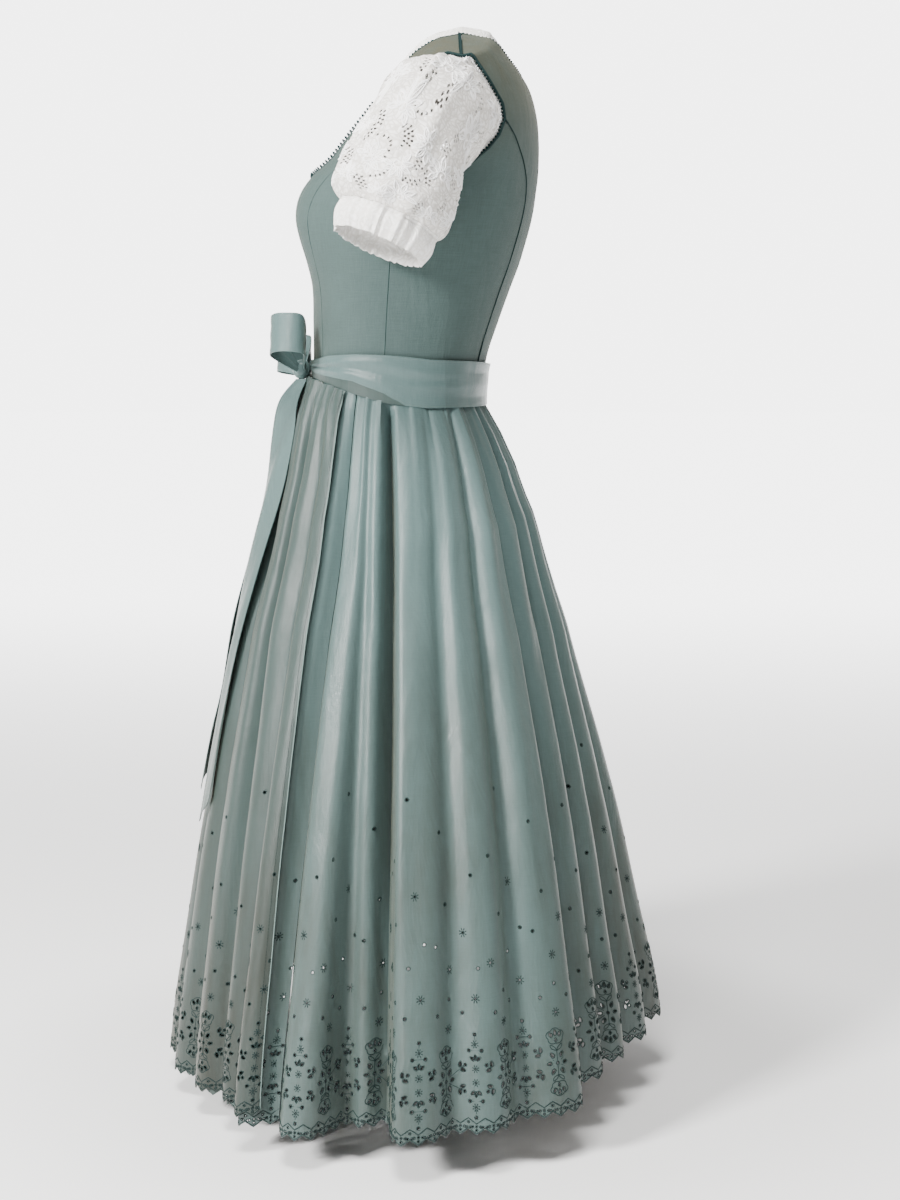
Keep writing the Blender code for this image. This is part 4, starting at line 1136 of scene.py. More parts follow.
def creased(deg, share):
    """How far the creases lift the cloth at angles and shares of the fall."""
    lift = np.zeros_like(deg)
    across = 1.6 + 2.6 * share
    for c in CREASES:
        run = within((share - c.start) / (c.end - c.start))
        line = c.start_deg + (c.end_deg - c.start_deg) * run
        away = away_from(deg, line) * across
        lift += c.height * np.sin(np.pi * run) ** 0.8 * np.exp(-((away / c.width) ** 2))
    return lift


def pleated(deg, share):
    """How far the pressed pleats stand out under the belt."""
    lift = np.zeros_like(deg)
    for p in PLEATS:
        fade = within(1 - share / p.end) ** 0.8
        away = away_from(deg, p.deg + p.turn_deg * share / p.end) * p.open_to
        lift += p.height * fade * (within(away / PLEAT_STEP_DEG) * within(1 - away / PLEAT_REACH_DEG))
    return lift


def gathered(deg, share):
    """The apron's gathers: ridges of their own length and height, and short deep puckers under the band."""
    number = deg / GATHER_PITCH_DEG + 0.3 * np.sin(deg * 0.31)
    nearest = np.round(number)
    height = GATHER_HEIGHT + GATHER_VARIES * np.sin(nearest * 2.3)
    length = GATHER_FALL * (0.7 + 0.4 * np.sin(nearest * 1.7 + 1))
    fade = within(1 - share / length) ** 1.3 * within(share / 0.012 + 0.3)
    ridge = height * fade * np.exp(-(((number - nearest) / (0.20 + 0.5 * share)) ** 2))
    pucker = np.abs(np.sin(np.radians(deg) * 57 + 1.5 * np.sin(deg * 0.4)))
    return ridge - PUCKER * within(1 - share / 0.055) * (1 - pucker)


def panel_of_waves(first, last):
    """The skirt between two folds, from the waist seam to the hem."""
    share = np.linspace(0, 1, ROWS_FINE) ** 1.25
    gap = SEAM_U_AT_WAIST + (SEAM_U_AT_HEM - SEAM_U_AT_WAIST) * share
    places = [(w, np.full_like(share, k / WAVE_FINE)) for w in range(first, last) for k in range(WAVE_FINE)]
    places = [(first, gap), *places[1:], (last - 1, 1 - gap)]
    lines = []
    for wave, u in places:
        deg = wave_shape(wave, u, share)[0]
        clear = within((np.abs(away_from(deg, 0)) - APRON_EDGE_DEG + 1) / 5)
        lines.append(skirt_points(wave, u, share, (creased(deg, share) + pleated(deg, share)) * clear)[0])
    return Sheet(np.stack(lines, axis=1))


def apron_sheet():
    share = np.linspace(0, 1, ROWS_FINE) ** 1.3
    middle = len(FOLDS)
    edge = APRON_EDGE_U_AT_WAIST + (APRON_EDGE_U_AT_HEM - APRON_EDGE_U_AT_WAIST) * share
    places = [(middle - 1 - FRONT_FOLD, 1 - edge * (1 - k / WAVE_FINE)) for k in range(WAVE_FINE)]
    for wave in range(middle - FRONT_FOLD, middle + FRONT_FOLD - 1):
        places += [(wave, np.full_like(share, k / WAVE_FINE)) for k in range(WAVE_FINE)]
    places += [(middle + FRONT_FOLD - 1, edge * k / WAVE_FINE) for k in range(WAVE_FINE + 1)]
    out = BAND_OUT + (APRON_OUT - BAND_OUT) * np.minimum(1.0, share / APRON_RISE)
    base = 0.6 + 2.6 * within(1 - share / GATHER_FALL)
    lines = []
    for wave, u in places:
        deg = away_from(wave_shape(wave, u, share)[0], 0)
        lift = np.maximum(0.0, gathered(deg, share) + creased(deg, share) + base)
        points, deg = skirt_points(wave, u, share, out + lift + SKIRT_WALL / 4)
        points[:, 2] += APRON_SHORTER_AT_EDGE * share * (deg / APRON_EDGE_DEG) ** 2
        points[:, 2] -= 2 * SEAM_GAP * (1 - share)
        lines.append(points)
    return Sheet(np.stack(lines, axis=1))


STITCH_BASE = 0.36


def embroidered(node_name, sheet, material, ends=None):
    """Cutwork cloth with raised embroidery, in whole repeats; with ends, only so many of them at each end."""
    count = round(sheet.length / REPEAT)
    columns = np.linspace(0, REPEAT, 13)[1:-1]
    rows = [*np.arange(2, PATTERN_TOP, 10.0), *np.arange(PATTERN_TOP + 10, CELL_TOP - 8, 20.0), CELL_TOP]
    x = np.linspace(0, REPEAT, TEETH_PER_REPEAT * 4 + 1)
    edge = np.stack((x, edge_height(x)), axis=1)
    patterns = [repeat_pattern(strewn) for strewn in STREWN]
    cells = [cut_cell(holes, REPEAT, edge, rows, columns) for holes, _ in [*patterns, ([], [])]]
    chosen = [k % 2 if ends is None or min(k, count - 1 - k) < ends else len(patterns) for k in range(count)]
    s, y, faces = lay_cells(sheet, cells, chosen)
    flat = np.stack((s, y), axis=1)
    shell(node_name, sheet.at(s, y), sheet.normals_at(s, y), faces, PANEL_THICK, material, flat)
    step = sheet.length / count
    parts = []
    for which, (holes, lines) in enumerate(patterns):
        work, faces = joined([rims(holes), stitched(lines)])
        for k in np.flatnonzero(np.array(chosen) == which):
            along = (k + work[:, 0] / REPEAT) * step
            parts.append((sheet.at(along, work[:, 1], work[:, 2] + STITCH_BASE), faces))
    trim(node_name, node_name + "_embroidery", THREAD, parts)


def build_skirt():
    middle = len(FOLDS)
    front = middle - 1 - FRONT_FOLD, middle + FRONT_FOLD
    back = middle + BACK_FOLD, 3 * middle - 1 - BACK_FOLD
    embroidered("skirt_front", panel_of_waves(*front), SATIN, 2)
    embroidered("skirt_left", panel_of_waves(front[1], back[0]), SATIN)
    embroidered("skirt_back", panel_of_waves(*back), SATIN)
    embroidered("skirt_right", panel_of_waves(middle - 1 - BACK_FOLD, front[0]), SATIN)


def build_apron():
    sheet = apron_sheet()
    embroidered("apron_panel", sheet, APRON_CLOTH)
    edges, stitches = [], []
    for s in (0.4, sheet.length - 0.4):
        edges.append(tube(sheet.at(np.full(120, s), np.linspace(0, sheet.height, 120), 0.2), 0.7))
    for s in (7.5, sheet.length - 7.5):
        for y in np.arange(2, sheet.height - 4, 3.4):
            stitches.append(tube(sheet.at(np.full(2, s), np.array([y, y + 2.3]), 0.45), 0.22, 4))
    trim("apron_panel", "apron_edges", PALE_THREAD, edges)
    trim("apron_panel", "apron_edge_stitches", THREAD, stitches)
    return sheet


# ---- belt and bow ----

# Creases in the ties: share of the tie's length where each begins and ends, its height there (0 the lower
# edge, 1 the upper) and how high it stands.
PULLS = table(
    "start end low_start low_end height",
    (0.00, 0.42, 0.50, 0.88, 1.3), (0.00, 0.60, 0.42, 0.56, -1.2), (0.01, 0.30, 0.62, 0.70, -1.0),
    (0.06, 0.46, 0.34, 0.16, 1.1), (0.26, 0.80, 0.80, 0.62, 0.8), (0.38, 0.95, 0.40, 0.52, 0.8),
    (0.45, 0.98, 0.16, 0.26, -0.9), (0.55, 1.0, 0.72, 0.84, -0.8), (0.70, 1.0, 0.34, 0.16, 0.8),
)
PULL_WIDTH = 0.10
DEEPEST_PULL = 1.0
TIE_SEAM_INSET = 1.6
TIE_STITCH = 0.2
LOOP_PUCKER = 1.5
PUCKER_REACH = 26.0
TAIL_RIPPLE = 1.2


def belt_sheet(deg, bottom, out, shares):
    top, low = belt_height(deg, "top"), belt_height(deg, bottom)
    return Sheet(np.stack([on_torso(deg, top * (1 - share) + low * share, out) for share in shares]))


def build_belt():
    band = np.linspace(-BAND_END_DEG, BAND_END_DEG, 150)
    band = belt_sheet(band, "bottom", BAND_OUT, np.linspace(BAND_TOP_SHARE, 1, 10))
    plain_cloth("apron_band", band, APRON_CLOTH, TIE_THICK)
    left = np.linspace(KNOT_DEG + KNOT_TURN, TIE_LEFT_END_DEG, 170)
    right = np.linspace(-TIE_RIGHT_END_DEG, KNOT_DEG - KNOT_TURN, 150)
    stitches = []
    for name, angles, lift in (("tie_left", left, TIE_LIFT), ("tie_right", right, 0.0)):
        out = TIE_OUT + lift * within((np.abs(angles) - TIE_LIFT_START_DEG) / TIE_LIFT_TURN)
        sheet = rippled(belt_sheet(angles, "tie_bottom", out, np.linspace(0, 1, 22)), lift > 0)
        plain_cloth(name, sheet, SATIN, TIE_THICK)
        for y in (TIE_SEAM_INSET, sheet.height - TIE_SEAM_INSET):
            line = sheet.at(np.linspace(1, sheet.length - 1, 260), np.full(260, y), 0.5)
            stitches.append(tube(line, TIE_STITCH, 4))
    trim("tie_left", "tie_stitches", PALE_THREAD, stitches)


def rippled(sheet, knot_first):
    """The tie's lengthwise creases, drawn together towards the knot."""
    rows = len(sheet.points)
    height, along = np.meshgrid(1 - np.linspace(0, 1, rows), sheet.s / sheet.length, indexing="ij")
    along = along if knot_first else 1 - along
    depth = np.zeros_like(height)
    for p in PULLS:
        line = p.low_start + (p.low_end - p.low_start) * within((along - p.start) / (p.end - p.start))
        fade = within((along - p.start) / 0.15 + (p.start == 0)) * within((p.end - along) / 0.25)
        depth += p.height * (fade * fade * (3 - 2 * fade)) * np.exp(-(((height - line) / PULL_WIDTH) ** 2))
    return sheet.moved(np.maximum(depth, -DEEPEST_PULL) * within(np.minimum(height, 1 - height) / 0.08))


def build_loop(name, side, drop, tilt_deg):
    path = cubic(LOOP, np.linspace(0, len(LOOP) - 1, 49))
    tilt = math.radians(tilt_deg)
    across = np.array((side * math.sin(tilt), 0, -math.cos(tilt)))
    fall = drop * path[:, 0] / max(p.x for p in LOOP)
    base = KNOT_CENTRE + np.stack((side * path[:, 0], path[:, 1], path[:, 2] - fall), axis=1)
    rows = []
    for share in np.linspace(-1, 1, 13):
        row = base + across * share * path[:, 3:4]
        pucker = LOOP_PUCKER * math.cos(share * 7.0) * np.exp(-path[:, 0] / PUCKER_REACH)
        row[:, 1] += np.sign(path[:, 1]) * pucker
        rows.append(row)
    plain_cloth(name, Sheet(np.stack(rows[::-side])), SATIN, BOW_THICK)


def build_knot():
    """The ribbon wrapped round itself: a rounded form with soft folds across it."""
    turn, fall = np.meshgrid(np.linspace(0, 2 * math.pi, 65), np.linspace(0.02, math.pi - 0.02, 33))
    direction = np.stack((np.sin(fall) * np.cos(turn), np.sin(fall) * np.sin(turn), np.cos(fall)), axis=-1)
    ridge = 1 + 0.05 * np.cos(7 * direction[..., 0] * 2.2 + 1.2 * direction[..., 2]) * np.sin(fall)
    knot = Sheet(KNOT_CENTRE + direction * KNOT_RADII * ridge[..., None], True)
    plain_cloth("bow_knot", knot, SATIN, KNOT_THICK)


def apron_front(x, z, apron):
    """How far forward the apron reaches near a place on its front."""
    points = apron.points.reshape(-1, 3)
    near = points[(np.abs(points[:, 0] - x) < TAIL_SUPPORT) & (np.abs(points[:, 2] - z) < 7)]
    return near[:, 1].min()


def build_tail(name, side, scale, apron):
    """A hanging tail: its crosswise lines follow the apron's front, and it is cut on a slant at its end."""
    control = []
    for index, t in enumerate(TAIL):
        for share in (-1.0, 0.0, 1.0):
            x = KNOT_CENTRE[0] + side * (t.x + share * t.half)
            z = TAIL[0].z + (t.z - TAIL[0].z) * scale - TAIL_TIP * (1 - share) / 2 * (index == len(TAIL) - 1)
            out = (t.inner_out * (1 - share) + t.outer_out * (1 + share)) / 2
            y = apron_front(x, z, apron) - out if index else KNOT_CENTRE[1] + TAIL_TWIST * share
            control.append((x, y, z))
    lines = cubic(np.reshape(control, (len(TAIL), 3, 3)), np.linspace(0, len(TAIL) - 1, 90))
    across = cubic(lines.transpose(1, 0, 2), np.linspace(0, 2, 15)).transpose(1, 0, 2)
    down, share = np.meshgrid(np.linspace(0, 1, 90), np.linspace(-1, 1, 15), indexing="ij")
    ripple = TAIL_RIPPLE * within(down * 8) * (1 - share**2) * (1 + np.sin(share * 4 + down * 21 * side))
    across[..., 1] -= ripple
    plain_cloth(name, Sheet(across[:, ::side]), SATIN, BOW_THICK)


# ---- blouse ----

BLOUSE_EDGE_DEG = float(armhole_angle("front_deg", SHOULDER_SEAM, BLOUSE_ARMHOLE_INSET))
BLOUSE_STRAP_SHARE = strap_share_of(BLOUSE_STRAP_INNER, BLOUSE_EDGE_DEG)
BLOUSE_HALVES = table(
    "name side middle_deg neck_depth collar",
    ("blouse_front", "front_deg", 0, BLOUSE_NECK_DEPTH, COLLAR_FRONT),
    ("blouse_back", "back_deg", 180, BLOUSE_BACK_NECK_DEPTH, COLLAR_BACK),
)


def on_blouse(part, share, height):
    """Points of the blouse's front or back at shares of the way from its middle to the armholes."""
    edge = np.where(height > ARMHOLE_BOTTOM, armhole_angle(part.side, height, BLOUSE_ARMHOLE_INSET), 90)
    angle = share * (np.abs(part.middle_deg - edge) - turn_for(SEAM_GAP / 2, 80.0, height))
    inset = BLOUSE_SHOULDER_INSET + (BLOUSE_INSET - BLOUSE_SHOULDER_INSET) * np.minimum(1.0, -height / 30)
    return on_torso(part.middle_deg + angle, height, inset)


def blouse_sheet(part):
    share = shares_across(BLOUSE_STRAP_SHARE)[::-1]
    z = refined(BLOUSE_HEIGHTS)
    top = neck_dip(np.abs(share), BLOUSE_STRAP_SHARE, part.neck_depth)[None, :]
    return Sheet(on_blouse(part, share, top + z[:, None] * (BLOUSE_BOTTOM - top) / BLOUSE_BOTTOM))


def collar_sheet():
    """The lace edging that stands round the blouse's neckline."""
    base, heights = [], []
    share = np.linspace(-1, 1, 90)
    for part in BLOUSE_HALVES:
        dip = neck_dip(np.abs(share) * BLOUSE_STRAP_SHARE, BLOUSE_STRAP_SHARE, part.neck_depth)
        base.append(on_blouse(part, share * BLOUSE_STRAP_SHARE, dip + SHOULDER_SEAM))
        heights.append(part.collar + (COLLAR_SIDE - part.collar) * share * share)
    base, heights = np.concatenate(base), np.concatenate(heights)
    inward = np.stack((-base[:, 0], TORSO[0].centre - base[:, 1], np.zeros(len(base))), axis=1)
    inward /= np.linalg.norm(inward, axis=1, keepdims=True)
    along = lengths_along(base)
    rows = []
    for rise in np.linspace(1, 0, 10):
        lean = np.interp(rise, (0, 0.5, 1), (0.0, -0.4, 0.6))
        frill = 0.9 * rise * np.sin(along / 5.2)
        row = base + (COLLAR_IN + lean + frill)[:, None] * inward
        row[:, 2] += heights * rise + 1.2 * rise * (np.abs(np.sin(along / 3.4)) - 1)
        rows.append(row)
    points = np.stack(rows)
    return Sheet(np.concatenate((points, points[:, :1]), axis=1), True)


def torso_side(y, z):
    """How far out the torso's left side lies at depths and heights."""
    front, back, centre, half = smooth(TORSO, ("front", "back", "centre", "half"), row_number(TORSO, "z", z))
    reach = np.where(y < centre, front, back)
    share = np.minimum(1.0, np.abs((y - centre) / (reach - centre)))
    return half * (1 - share**TORSO_POWER) ** (1 / TORSO_POWER)


AROUND = 193


def ring_line(ring):
    """One ring of the sleeve, gathered, and held clear of the torso's side."""
    turn = math.radians(ring.turn_deg)
    sideways = np.array((1.0, 0.0, 0.0))
    top = math.sin(turn) * sideways - math.cos(turn) * ARM_DOWN
    back = np.cross(sideways, ARM_DOWN)
    angle = np.linspace(0, 2 * math.pi, AROUND)
    swell = SLEEVE_GATHER * ring.gather * (0.5 - 0.5 * np.cos(angle * SLEEVE_POINTS / 2))
    point = np.array((ring.x, ring.y, ring.z)) + ((ring.outer + swell) * np.cos(angle))[:, None] * top
    point = point + ((ring.side + swell) * np.sin(angle))[:, None] * back
    point[:, 0] = np.maximum(point[:, 0], torso_side(point[:, 1], point[:, 2]) + ring.clear)
    return point


def root_line(inset, out):
    """A row of the sleeve along the armhole."""
    places = armhole_places(inset, ARMHOLE[-2:0:-1])
    outline = on_torso(*np.vstack((places, places[:1])).T, out)
    along = lengths_along(outline)
    at = np.linspace(0, along[-1], AROUND)
    return np.stack([np.interp(at, along, column) for column in outline.T], axis=1)


# Folds of the puffed sleeve: where each runs round the arm at its top and its foot, from which share of the
# sleeve's length to which, how high it stands and how wide it is.
SLEEVE_FOLDS = table(
    "top_deg foot_deg start end height width_deg",
    (-15, -24, 0.06, 0.60, 4.2, 3.6), (17, 19, 0.06, 0.40, 3.8, 3.6), (-28, -40, 0.05, 0.34, 2.2, 5.0),
    (2, 4, 0.05, 0.22, 2.0, 4.0), (34, 42, 0.05, 0.36, 2.4, 5.0), (58, 64, 0.05, 0.34, 2.2, 6.0),
    (-52, -62, 0.05, 0.40, 2.4, 6.0), (52, -24, 0.34, 0.95, 3.2, 8.0), (96, 4, 0.52, 1.0, 3.0, 8.0),
    (-8, -50, 0.55, 1.0, 2.4, 8.0), (100, 60, 0.4, 1.0, 2.4, 8.0), (-80, -70, 0.3, 0.9, 2.4, 8.0),
    (120, 100, 0.2, 1.0, 2.5, 9.0), (160, 170, 0.2, 1.0, 2.5, 9.0), (210, 200, 0.2, 1.0, 2.5, 9.0),
    (250, 262, 0.2, 1.0, 2.5, 9.0),
)
SLEEVE_DRAWN_IN = 5.5
HEAD_DRAWN_IN = 3.4
HEAD_RIPPLE = 0.9


def tube_of_rows(rows, count):
    """A closed sheet through rings, with each point's share of its length and its angle."""
    v = np.linspace(0, len(rows) - 1, count)
    share, deg = np.meshgrid(v / v[-1], np.linspace(0, 360, AROUND), indexing="ij")
    return Sheet(cubic(np.stack(rows), v), True), share, deg


def sleeve_sheet():
    rows = [root_line(inset, out) for inset, out in SLEEVE_ROOT] + [ring_line(ring) for ring in SLEEVE]
    sheet, share, deg = tube_of_rows(rows, 70)
    lift = np.zeros_like(share)
    for f in SLEEVE_FOLDS:
        away = away_from(deg, f.top_deg + (f.foot_deg - f.top_deg) * share)
        along = within((share - f.start) / 0.2) * within((f.end - share) / 0.18)
        lift += f.height * along * np.exp(-((away / f.width_deg) ** 2))
    around = np.radians(deg)
    rising = within(share / 0.12) * within((0.72 - share) / 0.3)
    lift -= SLEEVE_DRAWN_IN * rising * within(np.cos(around - math.radians(40)))
    near_root = within(share / 0.05) * within((0.32 - share) / 0.2)
    lift -= HEAD_DRAWN_IN * near_root * within(np.cos(around))
    lift += HEAD_RIPPLE * np.exp(-share / 0.14) * np.sin(around * 38 + 2.2 * np.sin(around * 3))
    return sheet.moved(lift)


def cuff_sheet():
    sheet, share, deg = tube_of_rows([ring_line(ring) for ring in CUFF], 26)
    turn = np.radians(deg)
    small = 0.6 * np.sin(turn * 29 + 1.6 * np.sin(turn * 4))
    small += 0.4 * np.sin(turn * 47 + 2.0 * np.sin(turn * 3 + 1))
    return sheet.moved((0.7 + 1.1 * share) * small - 1.2 * np.exp(-(((share - 0.16) / 0.08) ** 2)))


# The sleeve's lace, drawn flat on half of its width and repeated: patches of net, each a middle, a turn, a
# bend and its holes along and across, and fans of raised leaves round a curl.
LACE_WIDTH = 372.0
LACE_HEIGHT = 196.0
FAN_SCALE = 1.25
NET_ALONG = 4.7
NET_ACROSS = 4.0
NET_HOLE = (1.75, 1.3)
LACE_STITCH_BASE = 0.3
NETS = table(
    "x y deg bend long rows",
    (12, 134, 80, 0.02, 4, 3), (14, 160, 100, 0.01, 6, 1), (171, 137, 60, 0.03, 3, 2),
    (180, 93, 110, 0.03, 5, 3), (164, 83, 130, 0.05, 7, 1), (0, 117, 20, 0.05, 6, 1),
    (38, 102, 70, -0.03, 3, 3), (50, 119, 40, 0.03, 3, 2), (13, 73, 85, 0.03, 4, 2),
    (28, 64, 120, 0.04, 4, 2), (12, 50, 10, 0.04, 4, 2), (170, 46, 50, 0.04, 6, 1),
    (150, 29, 115, 0.02, 4, 3), (26, 24, 75, -0.03, 5, 2), (142, 106, 105, 0.02, 4, 2),
    (137, 88, 60, 0.03, 4, 2), (120, 62, 95, 0.03, 5, 3), (157, 149, 75, 0.03, 4, 2),
    (142, 172, 120, 0.02, 4, 1), (40, 168, 60, 0.03, 4, 2), (58, 148, 110, 0.03, 4, 2),
    (62, 84, 95, -0.03, 4, 3), (58, 44, 60, 0.03, 5, 2), (84, 62, 120, 0.03, 4, 2),
    (82, 112, 80, 0.03, 5, 2), (86, 146, 60, 0.03, 4, 3), (106, 128, 100, 0.03, 4, 2),
    (112, 160, 70, 0.03, 4, 2), (102, 34, 70, 0.03, 5, 2), (104, 94, 40, 0.04, 5, 1),
)
FANS = table(
    "x y deg size",
    (184, 150, 80, 1.1), (28, 146, 110, 1.0), (160, 116, 60, 1.1), (18, 92, 200, 1.0), (42, 74, 100, 1.0),
    (148, 60, 40, 1.1), (180, 64, 300, 0.9), (8, 28, 120, 1.0), (172, 20, 70, 0.9), (44, 20, 100, 0.9),
    (70, 128, 80, 1.1), (128, 140, 120, 1.0), (120, 108, 230, 0.9), (72, 100, 310, 0.9), (98, 68, 70, 1.0),
    (78, 34, 110, 1.0), (126, 36, 80, 1.0), (70, 172, 90, 0.9), (126, 178, 70, 0.8), (6, 176, 100, 0.8),
)


def lace_holes():
    holes = []
    for p in NETS:
        for i in range(p.long):
            for j in range(p.rows):
                along = (i - (p.long - 1) / 2 + 0.5 * (j % 2)) * NET_ALONG
                across = (j - (p.rows - 1) / 2) * NET_ACROSS + p.bend * along**2
                x, y = turned(along, across, p.deg) + (p.x, p.y)
                lean = p.deg + math.degrees(math.atan(2 * p.bend * along)) + 90
                if 5 < y < LACE_HEIGHT - 5:
                    halves = (0, LACE_WIDTH / 2)
                    holes += [Hole((x + half) % LACE_WIDTH, y, *NET_HOLE, lean) for half in halves]
    return [h for h in holes if 3 < h.x < LACE_WIDTH - 3]


def fan_lines(deg):
    """A fan of curved leaves round a curl: the points, width and height of each of its lines."""
    curl = np.linspace(0, 2.6 * math.pi, 22)
    t = np.linspace(0, 1, 9)
    shapes = [(turned((1.0 + curl * 0.5) * np.cos(curl), (1.0 + curl * 0.5) * np.sin(curl), deg), 1.6, 0.9)]
    for k in range(-3, 4):
        long = 11.0 - 0.7 * abs(k)
        bend = 0.9 * k * t * t
        spread = deg + 34 * k
        for side in (-1, 1):
            bow = side * 2.1 * np.sin(math.pi * t) + bend
            shapes.append((turned(4.6 + long * t, bow, spread), 1.7, 1.1))
        shapes.append((turned(5.6 + (long - 3) * t, bend, spread), 0.8, 0.5))
    return shapes


def lace_lines():
    """The lace's raised work: every fan twice, in each half, without the lines that pass the edges."""
    lines = []
    for fan in FANS:
        for half in (0, LACE_WIDTH / 2):
            for shape, width, height in fan_lines(fan.deg):
                points = shape * fan.size * FAN_SCALE + (fan.x + half, fan.y)
                points[:, 0] -= LACE_WIDTH * (points[:, 0].mean() // LACE_WIDTH)
                if ((points > (2, 3)) & (points < (LACE_WIDTH - 2, LACE_HEIGHT - 3))).all():
                    lines.append(Stitch(points, width, height))
    return lines


def lace_sleeve(name, side, sheet):
    """The sleeve's lace: net holes cut through, and its raised pattern."""
    columns = np.linspace(0, LACE_WIDTH, 100)[1:-1]
    rows = [*np.arange(2.4, LACE_HEIGHT - 1, 3.8), LACE_HEIGHT]
    edge = np.stack((np.linspace(0, LACE_WIDTH, 101), np.zeros(101)), axis=1)
    verts, faces = cut_cell(lace_holes(), LACE_WIDTH, edge, rows, columns)
    left, right = side_points(verts, LACE_WIDTH)
    target = np.arange(len(verts))
    target[right] = left
    work, work_faces = stitched(lace_lines())

    def placed(flat):
        return (flat[:, 0] / LACE_WIDTH + 0.5) % 1 * sheet.length, flat[:, 1] / LACE_HEIGHT * sheet.height

    mirror = (side, 1, 1)
    points, normals = sheet.at(*placed(verts)) * mirror, sheet.normals_at(*placed(verts)) * mirror
    raised = sheet.at(*placed(work), work[:, 2] + LACE_STITCH_BASE) * mirror
    # The inner faces take the darker lace as painted shade.
    shell(name, points, normals, target[faces][:, ::side], FRILL_THICK, LACE, verts, LACE_SHADED_INSIDE)
    trim(name, name + "_pattern", WHITE_THREAD, [(raised, work_faces[:, ::side])])


def build_blouse():
    for part in BLOUSE_HALVES:
        plain_cloth(part.name, blouse_sheet(part), BATISTE, BLOUSE_THICK)
    plain_cloth("blouse_collar", collar_sheet(), BATISTE, FRILL_THICK)
    sleeve, cuff = sleeve_sheet(), cuff_sheet()
    lace_sleeve("blouse_sleeve_left", 1, sleeve)
    plain_cloth("blouse_cuff_left", cuff, BATISTE, FRILL_THICK)
    lace_sleeve("blouse_sleeve_right", -1, sleeve)
    plain_cloth("blouse_cuff_right", mirrored(cuff), BATISTE, FRILL_THICK)
    edge = armhole_line(3.2, -1.2)
    loops = both_sides(*picots(edge, -outward(edge), 1.2, 2.4, 0.5))
    trim("blouse_back", "blouse_armhole_picots", WHITE_THREAD, [loops])


# ---- the studio ----

CAMERA_PLACE = (2.3, -0.005, -0.332)
CAMERA_DOWN_DEG = 6.471
CAMERA_LENS = 63.48
FLOOR_SIZE = 30.0
FLOOR_HEIGHT = -1.118
FLOOR_FADE = (-5.0, -0.4)
BACKDROP = 5.0
BACKDROP_EDGE = (-0.95, -0.84)
# The radii round the dress's axis over which the floor's painted shadow fades out.
SHADE_RADII = (0.33, 0.62)
SURROUND = 0.24
FLOOR_GLOW = 0.5
LIGHTS = table(
    "name place aim size power colour",
    ("key", (2.2, -2.3, 1.0), (0, 0, -0.5), 0.7, 290, (1.0, 0.99, 0.97)),
    ("front_fill", (-0.6, -2.8, 0.0), (0, 0, -0.6), 1.4, 5, (1.0, 0.93, 0.84)),
    ("top", (1.3, -0.3, 2.2), (0, 0, -0.3), 0.9, 130, (1.0, 0.99, 0.97)),
    ("rim", (-0.6, 2.6, 0.6), (0, 0, -0.5), 1.4, 12, (1.0, 0.90, 0.80)),
)


def placed_object(name, data):
    obj = bpy.data.objects.new(name, data)
    bpy.context.scene.collection.objects.link(obj)
    return obj


def floor_material():
    """A pale floor that turns into the glowing backdrop far behind; under the skirt its glow is taken away as
    a painted shadow.
    """
    material, tree, shader, place = shader_of(
        "pale_floor", Roughness=0.85, Specular_IOR_Level=0.1, Emission_Color=(1, 1, 1, 1),
    )
    x = node(tree, "SeparateXYZ", place["Object"]).outputs["X"]
    near = map_range(tree, x, *FLOOR_FADE, 0.0, 1.0)
    pale = node(tree, "MixRGB", near, (0, 0, 0, 1), (0.93, 0.93, 0.93, 1)).outputs["Color"]
    tree.links.new(pale, shader["Base Color"])
    # Painted shadow: the floor's glow fades out towards the dress's axis.
    radius = node(tree, "VectorMath", place["Object"])
    radius.operation = "LENGTH"
    shade = map_range(tree, radius.outputs["Value"], *SHADE_RADII, 0.0, 1.0)
    glow = calculated(tree, "MULTIPLY", map_range(tree, x, *FLOOR_FADE, BACKDROP, FLOOR_GLOW), shade)
    tree.links.new(glow, shader["Emission Strength"])
    return material


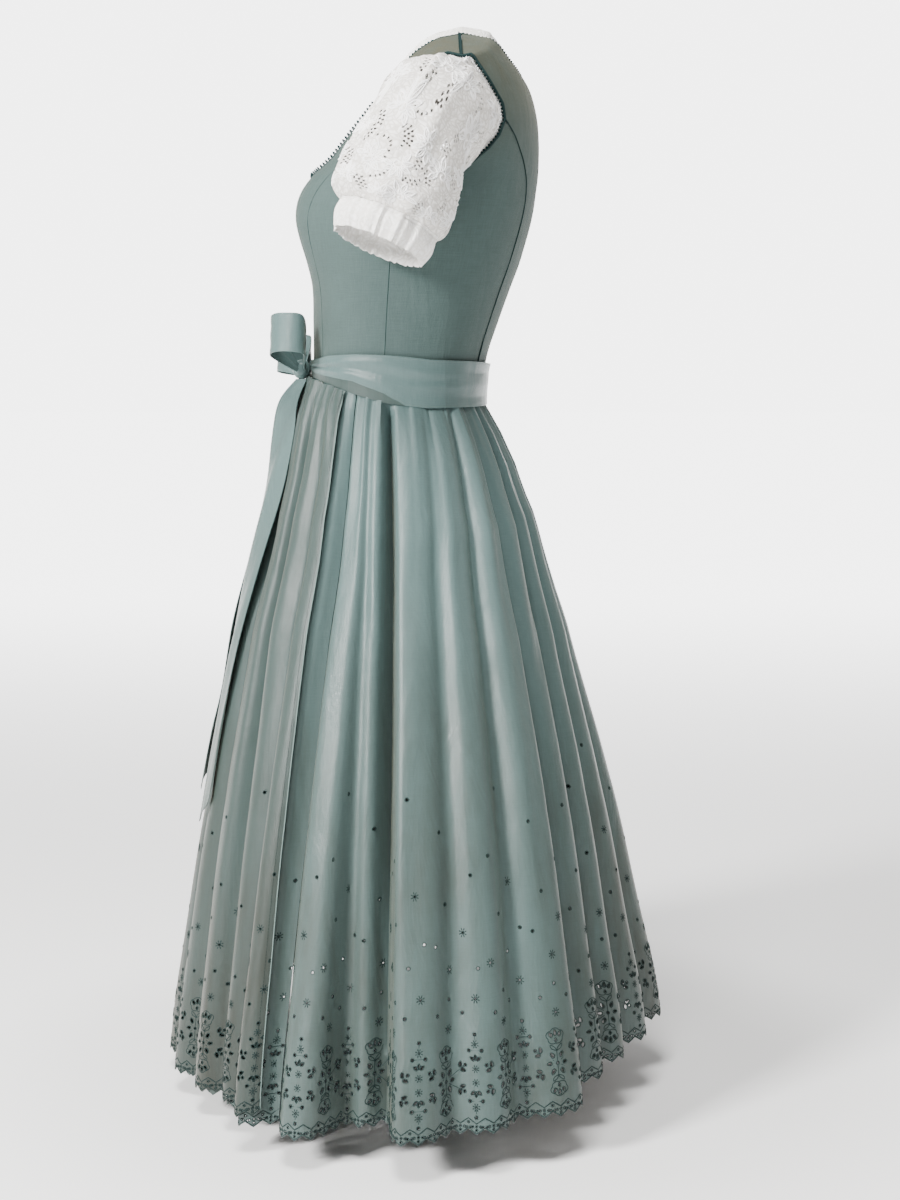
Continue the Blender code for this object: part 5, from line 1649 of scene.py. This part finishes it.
def build_studio():
    scene = bpy.context.scene
    scene.camera = camera = placed_object("camera", bpy.data.cameras.new("camera"))
    camera.location = CAMERA_PLACE
    camera.rotation_euler = (math.radians(90 - CAMERA_DOWN_DEG), 0, math.radians(90))
    camera.data.lens = CAMERA_LENS
    camera.data.sensor_width = 36
    floor = bpy.data.meshes.new("floor")
    corners = [(x * FLOOR_SIZE, y * FLOOR_SIZE, 0) for x, y in ((-1, -1), (1, -1), (1, 1), (-1, 1))]
    floor.from_pydata(corners, [], [(0, 1, 2, 3)])
    floor.materials.append(floor_material())
    floor = placed_object("floor", floor)
    floor.location.z = FLOOR_HEIGHT
    scene.world = bpy.data.worlds.new("studio")
    scene.world.use_nodes = True
    tree = scene.world.node_tree
    x = node(tree, "SeparateXYZ", node(tree, "TexCoord").outputs["Generated"]).outputs["X"]
    background = tree.nodes["Background"]
    background.inputs["Color"].default_value = (1, 1, 1, 1)
    tree.links.new(map_range(tree, x, *BACKDROP_EDGE, BACKDROP, SURROUND), background.inputs["Strength"])
    for row in LIGHTS:
        light = placed_object(row.name, bpy.data.lights.new(row.name, "AREA"))
        light.location = row.place
        light.rotation_euler = (Vector(row.aim) - Vector(row.place)).to_track_quat("-Z", "Y").to_euler()
        light.data.size = row.size
        light.data.energy = row.power
        light.data.color = row.colour


# How each cloth is finished, held and carried, by the beginning of its node's name.
CLOTHS = table(
    "begins slot held rests_on",
    ("bodice", "linen", "hung", []), ("skirt", "satin_cotton", "gathered", ["bodice_back_centre"]),
    ("apron_panel", "satin_cotton", "gathered", ["apron_band"]),
    ("apron_band", "satin_cotton", "laid", ["skirt_front"]),
    ("tie", "satin_cotton", "folded", ["apron_band"]),
    ("bow_tail", "satin_cotton", "hung", ["bow_knot", "apron_panel"]),
    ("bow_loop", "satin_cotton", "folded", ["bow_knot"]),
    ("bow_knot", "satin_cotton", "folded", ["tie_left"]),
    ("blouse_sleeve", "white_lace", "gathered", ["blouse_back"]),
    ("blouse_cuff", "white_lace", "gathered", []),
    ("blouse_collar", "white_lace", "gathered", ["blouse_front"]), ("blouse", "white_lace", "hung", []),
)


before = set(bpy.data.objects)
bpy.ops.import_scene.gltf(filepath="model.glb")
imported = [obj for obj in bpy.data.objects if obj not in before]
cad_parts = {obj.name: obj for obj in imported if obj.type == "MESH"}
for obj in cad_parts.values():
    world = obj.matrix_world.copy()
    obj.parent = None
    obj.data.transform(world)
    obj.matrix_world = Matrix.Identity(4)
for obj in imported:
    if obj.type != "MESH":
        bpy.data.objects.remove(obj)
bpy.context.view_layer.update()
build_studio()
build_bodice()
build_bodice_trim()
build_skirt()
apron = build_apron()
build_belt()
build_knot()
build_loop("bow_loop_left", 1, 0.0, LOOP_TILT_DEG)
build_loop("bow_loop_right", -1, RIGHT_LOOP_DROP, RIGHT_LOOP_TILT_DEG)
build_tail("bow_tail_left", 1, 1.0, apron)
build_tail("bow_tail_right", -1, RIGHT_TAIL_SCALE, apron)
build_blouse()
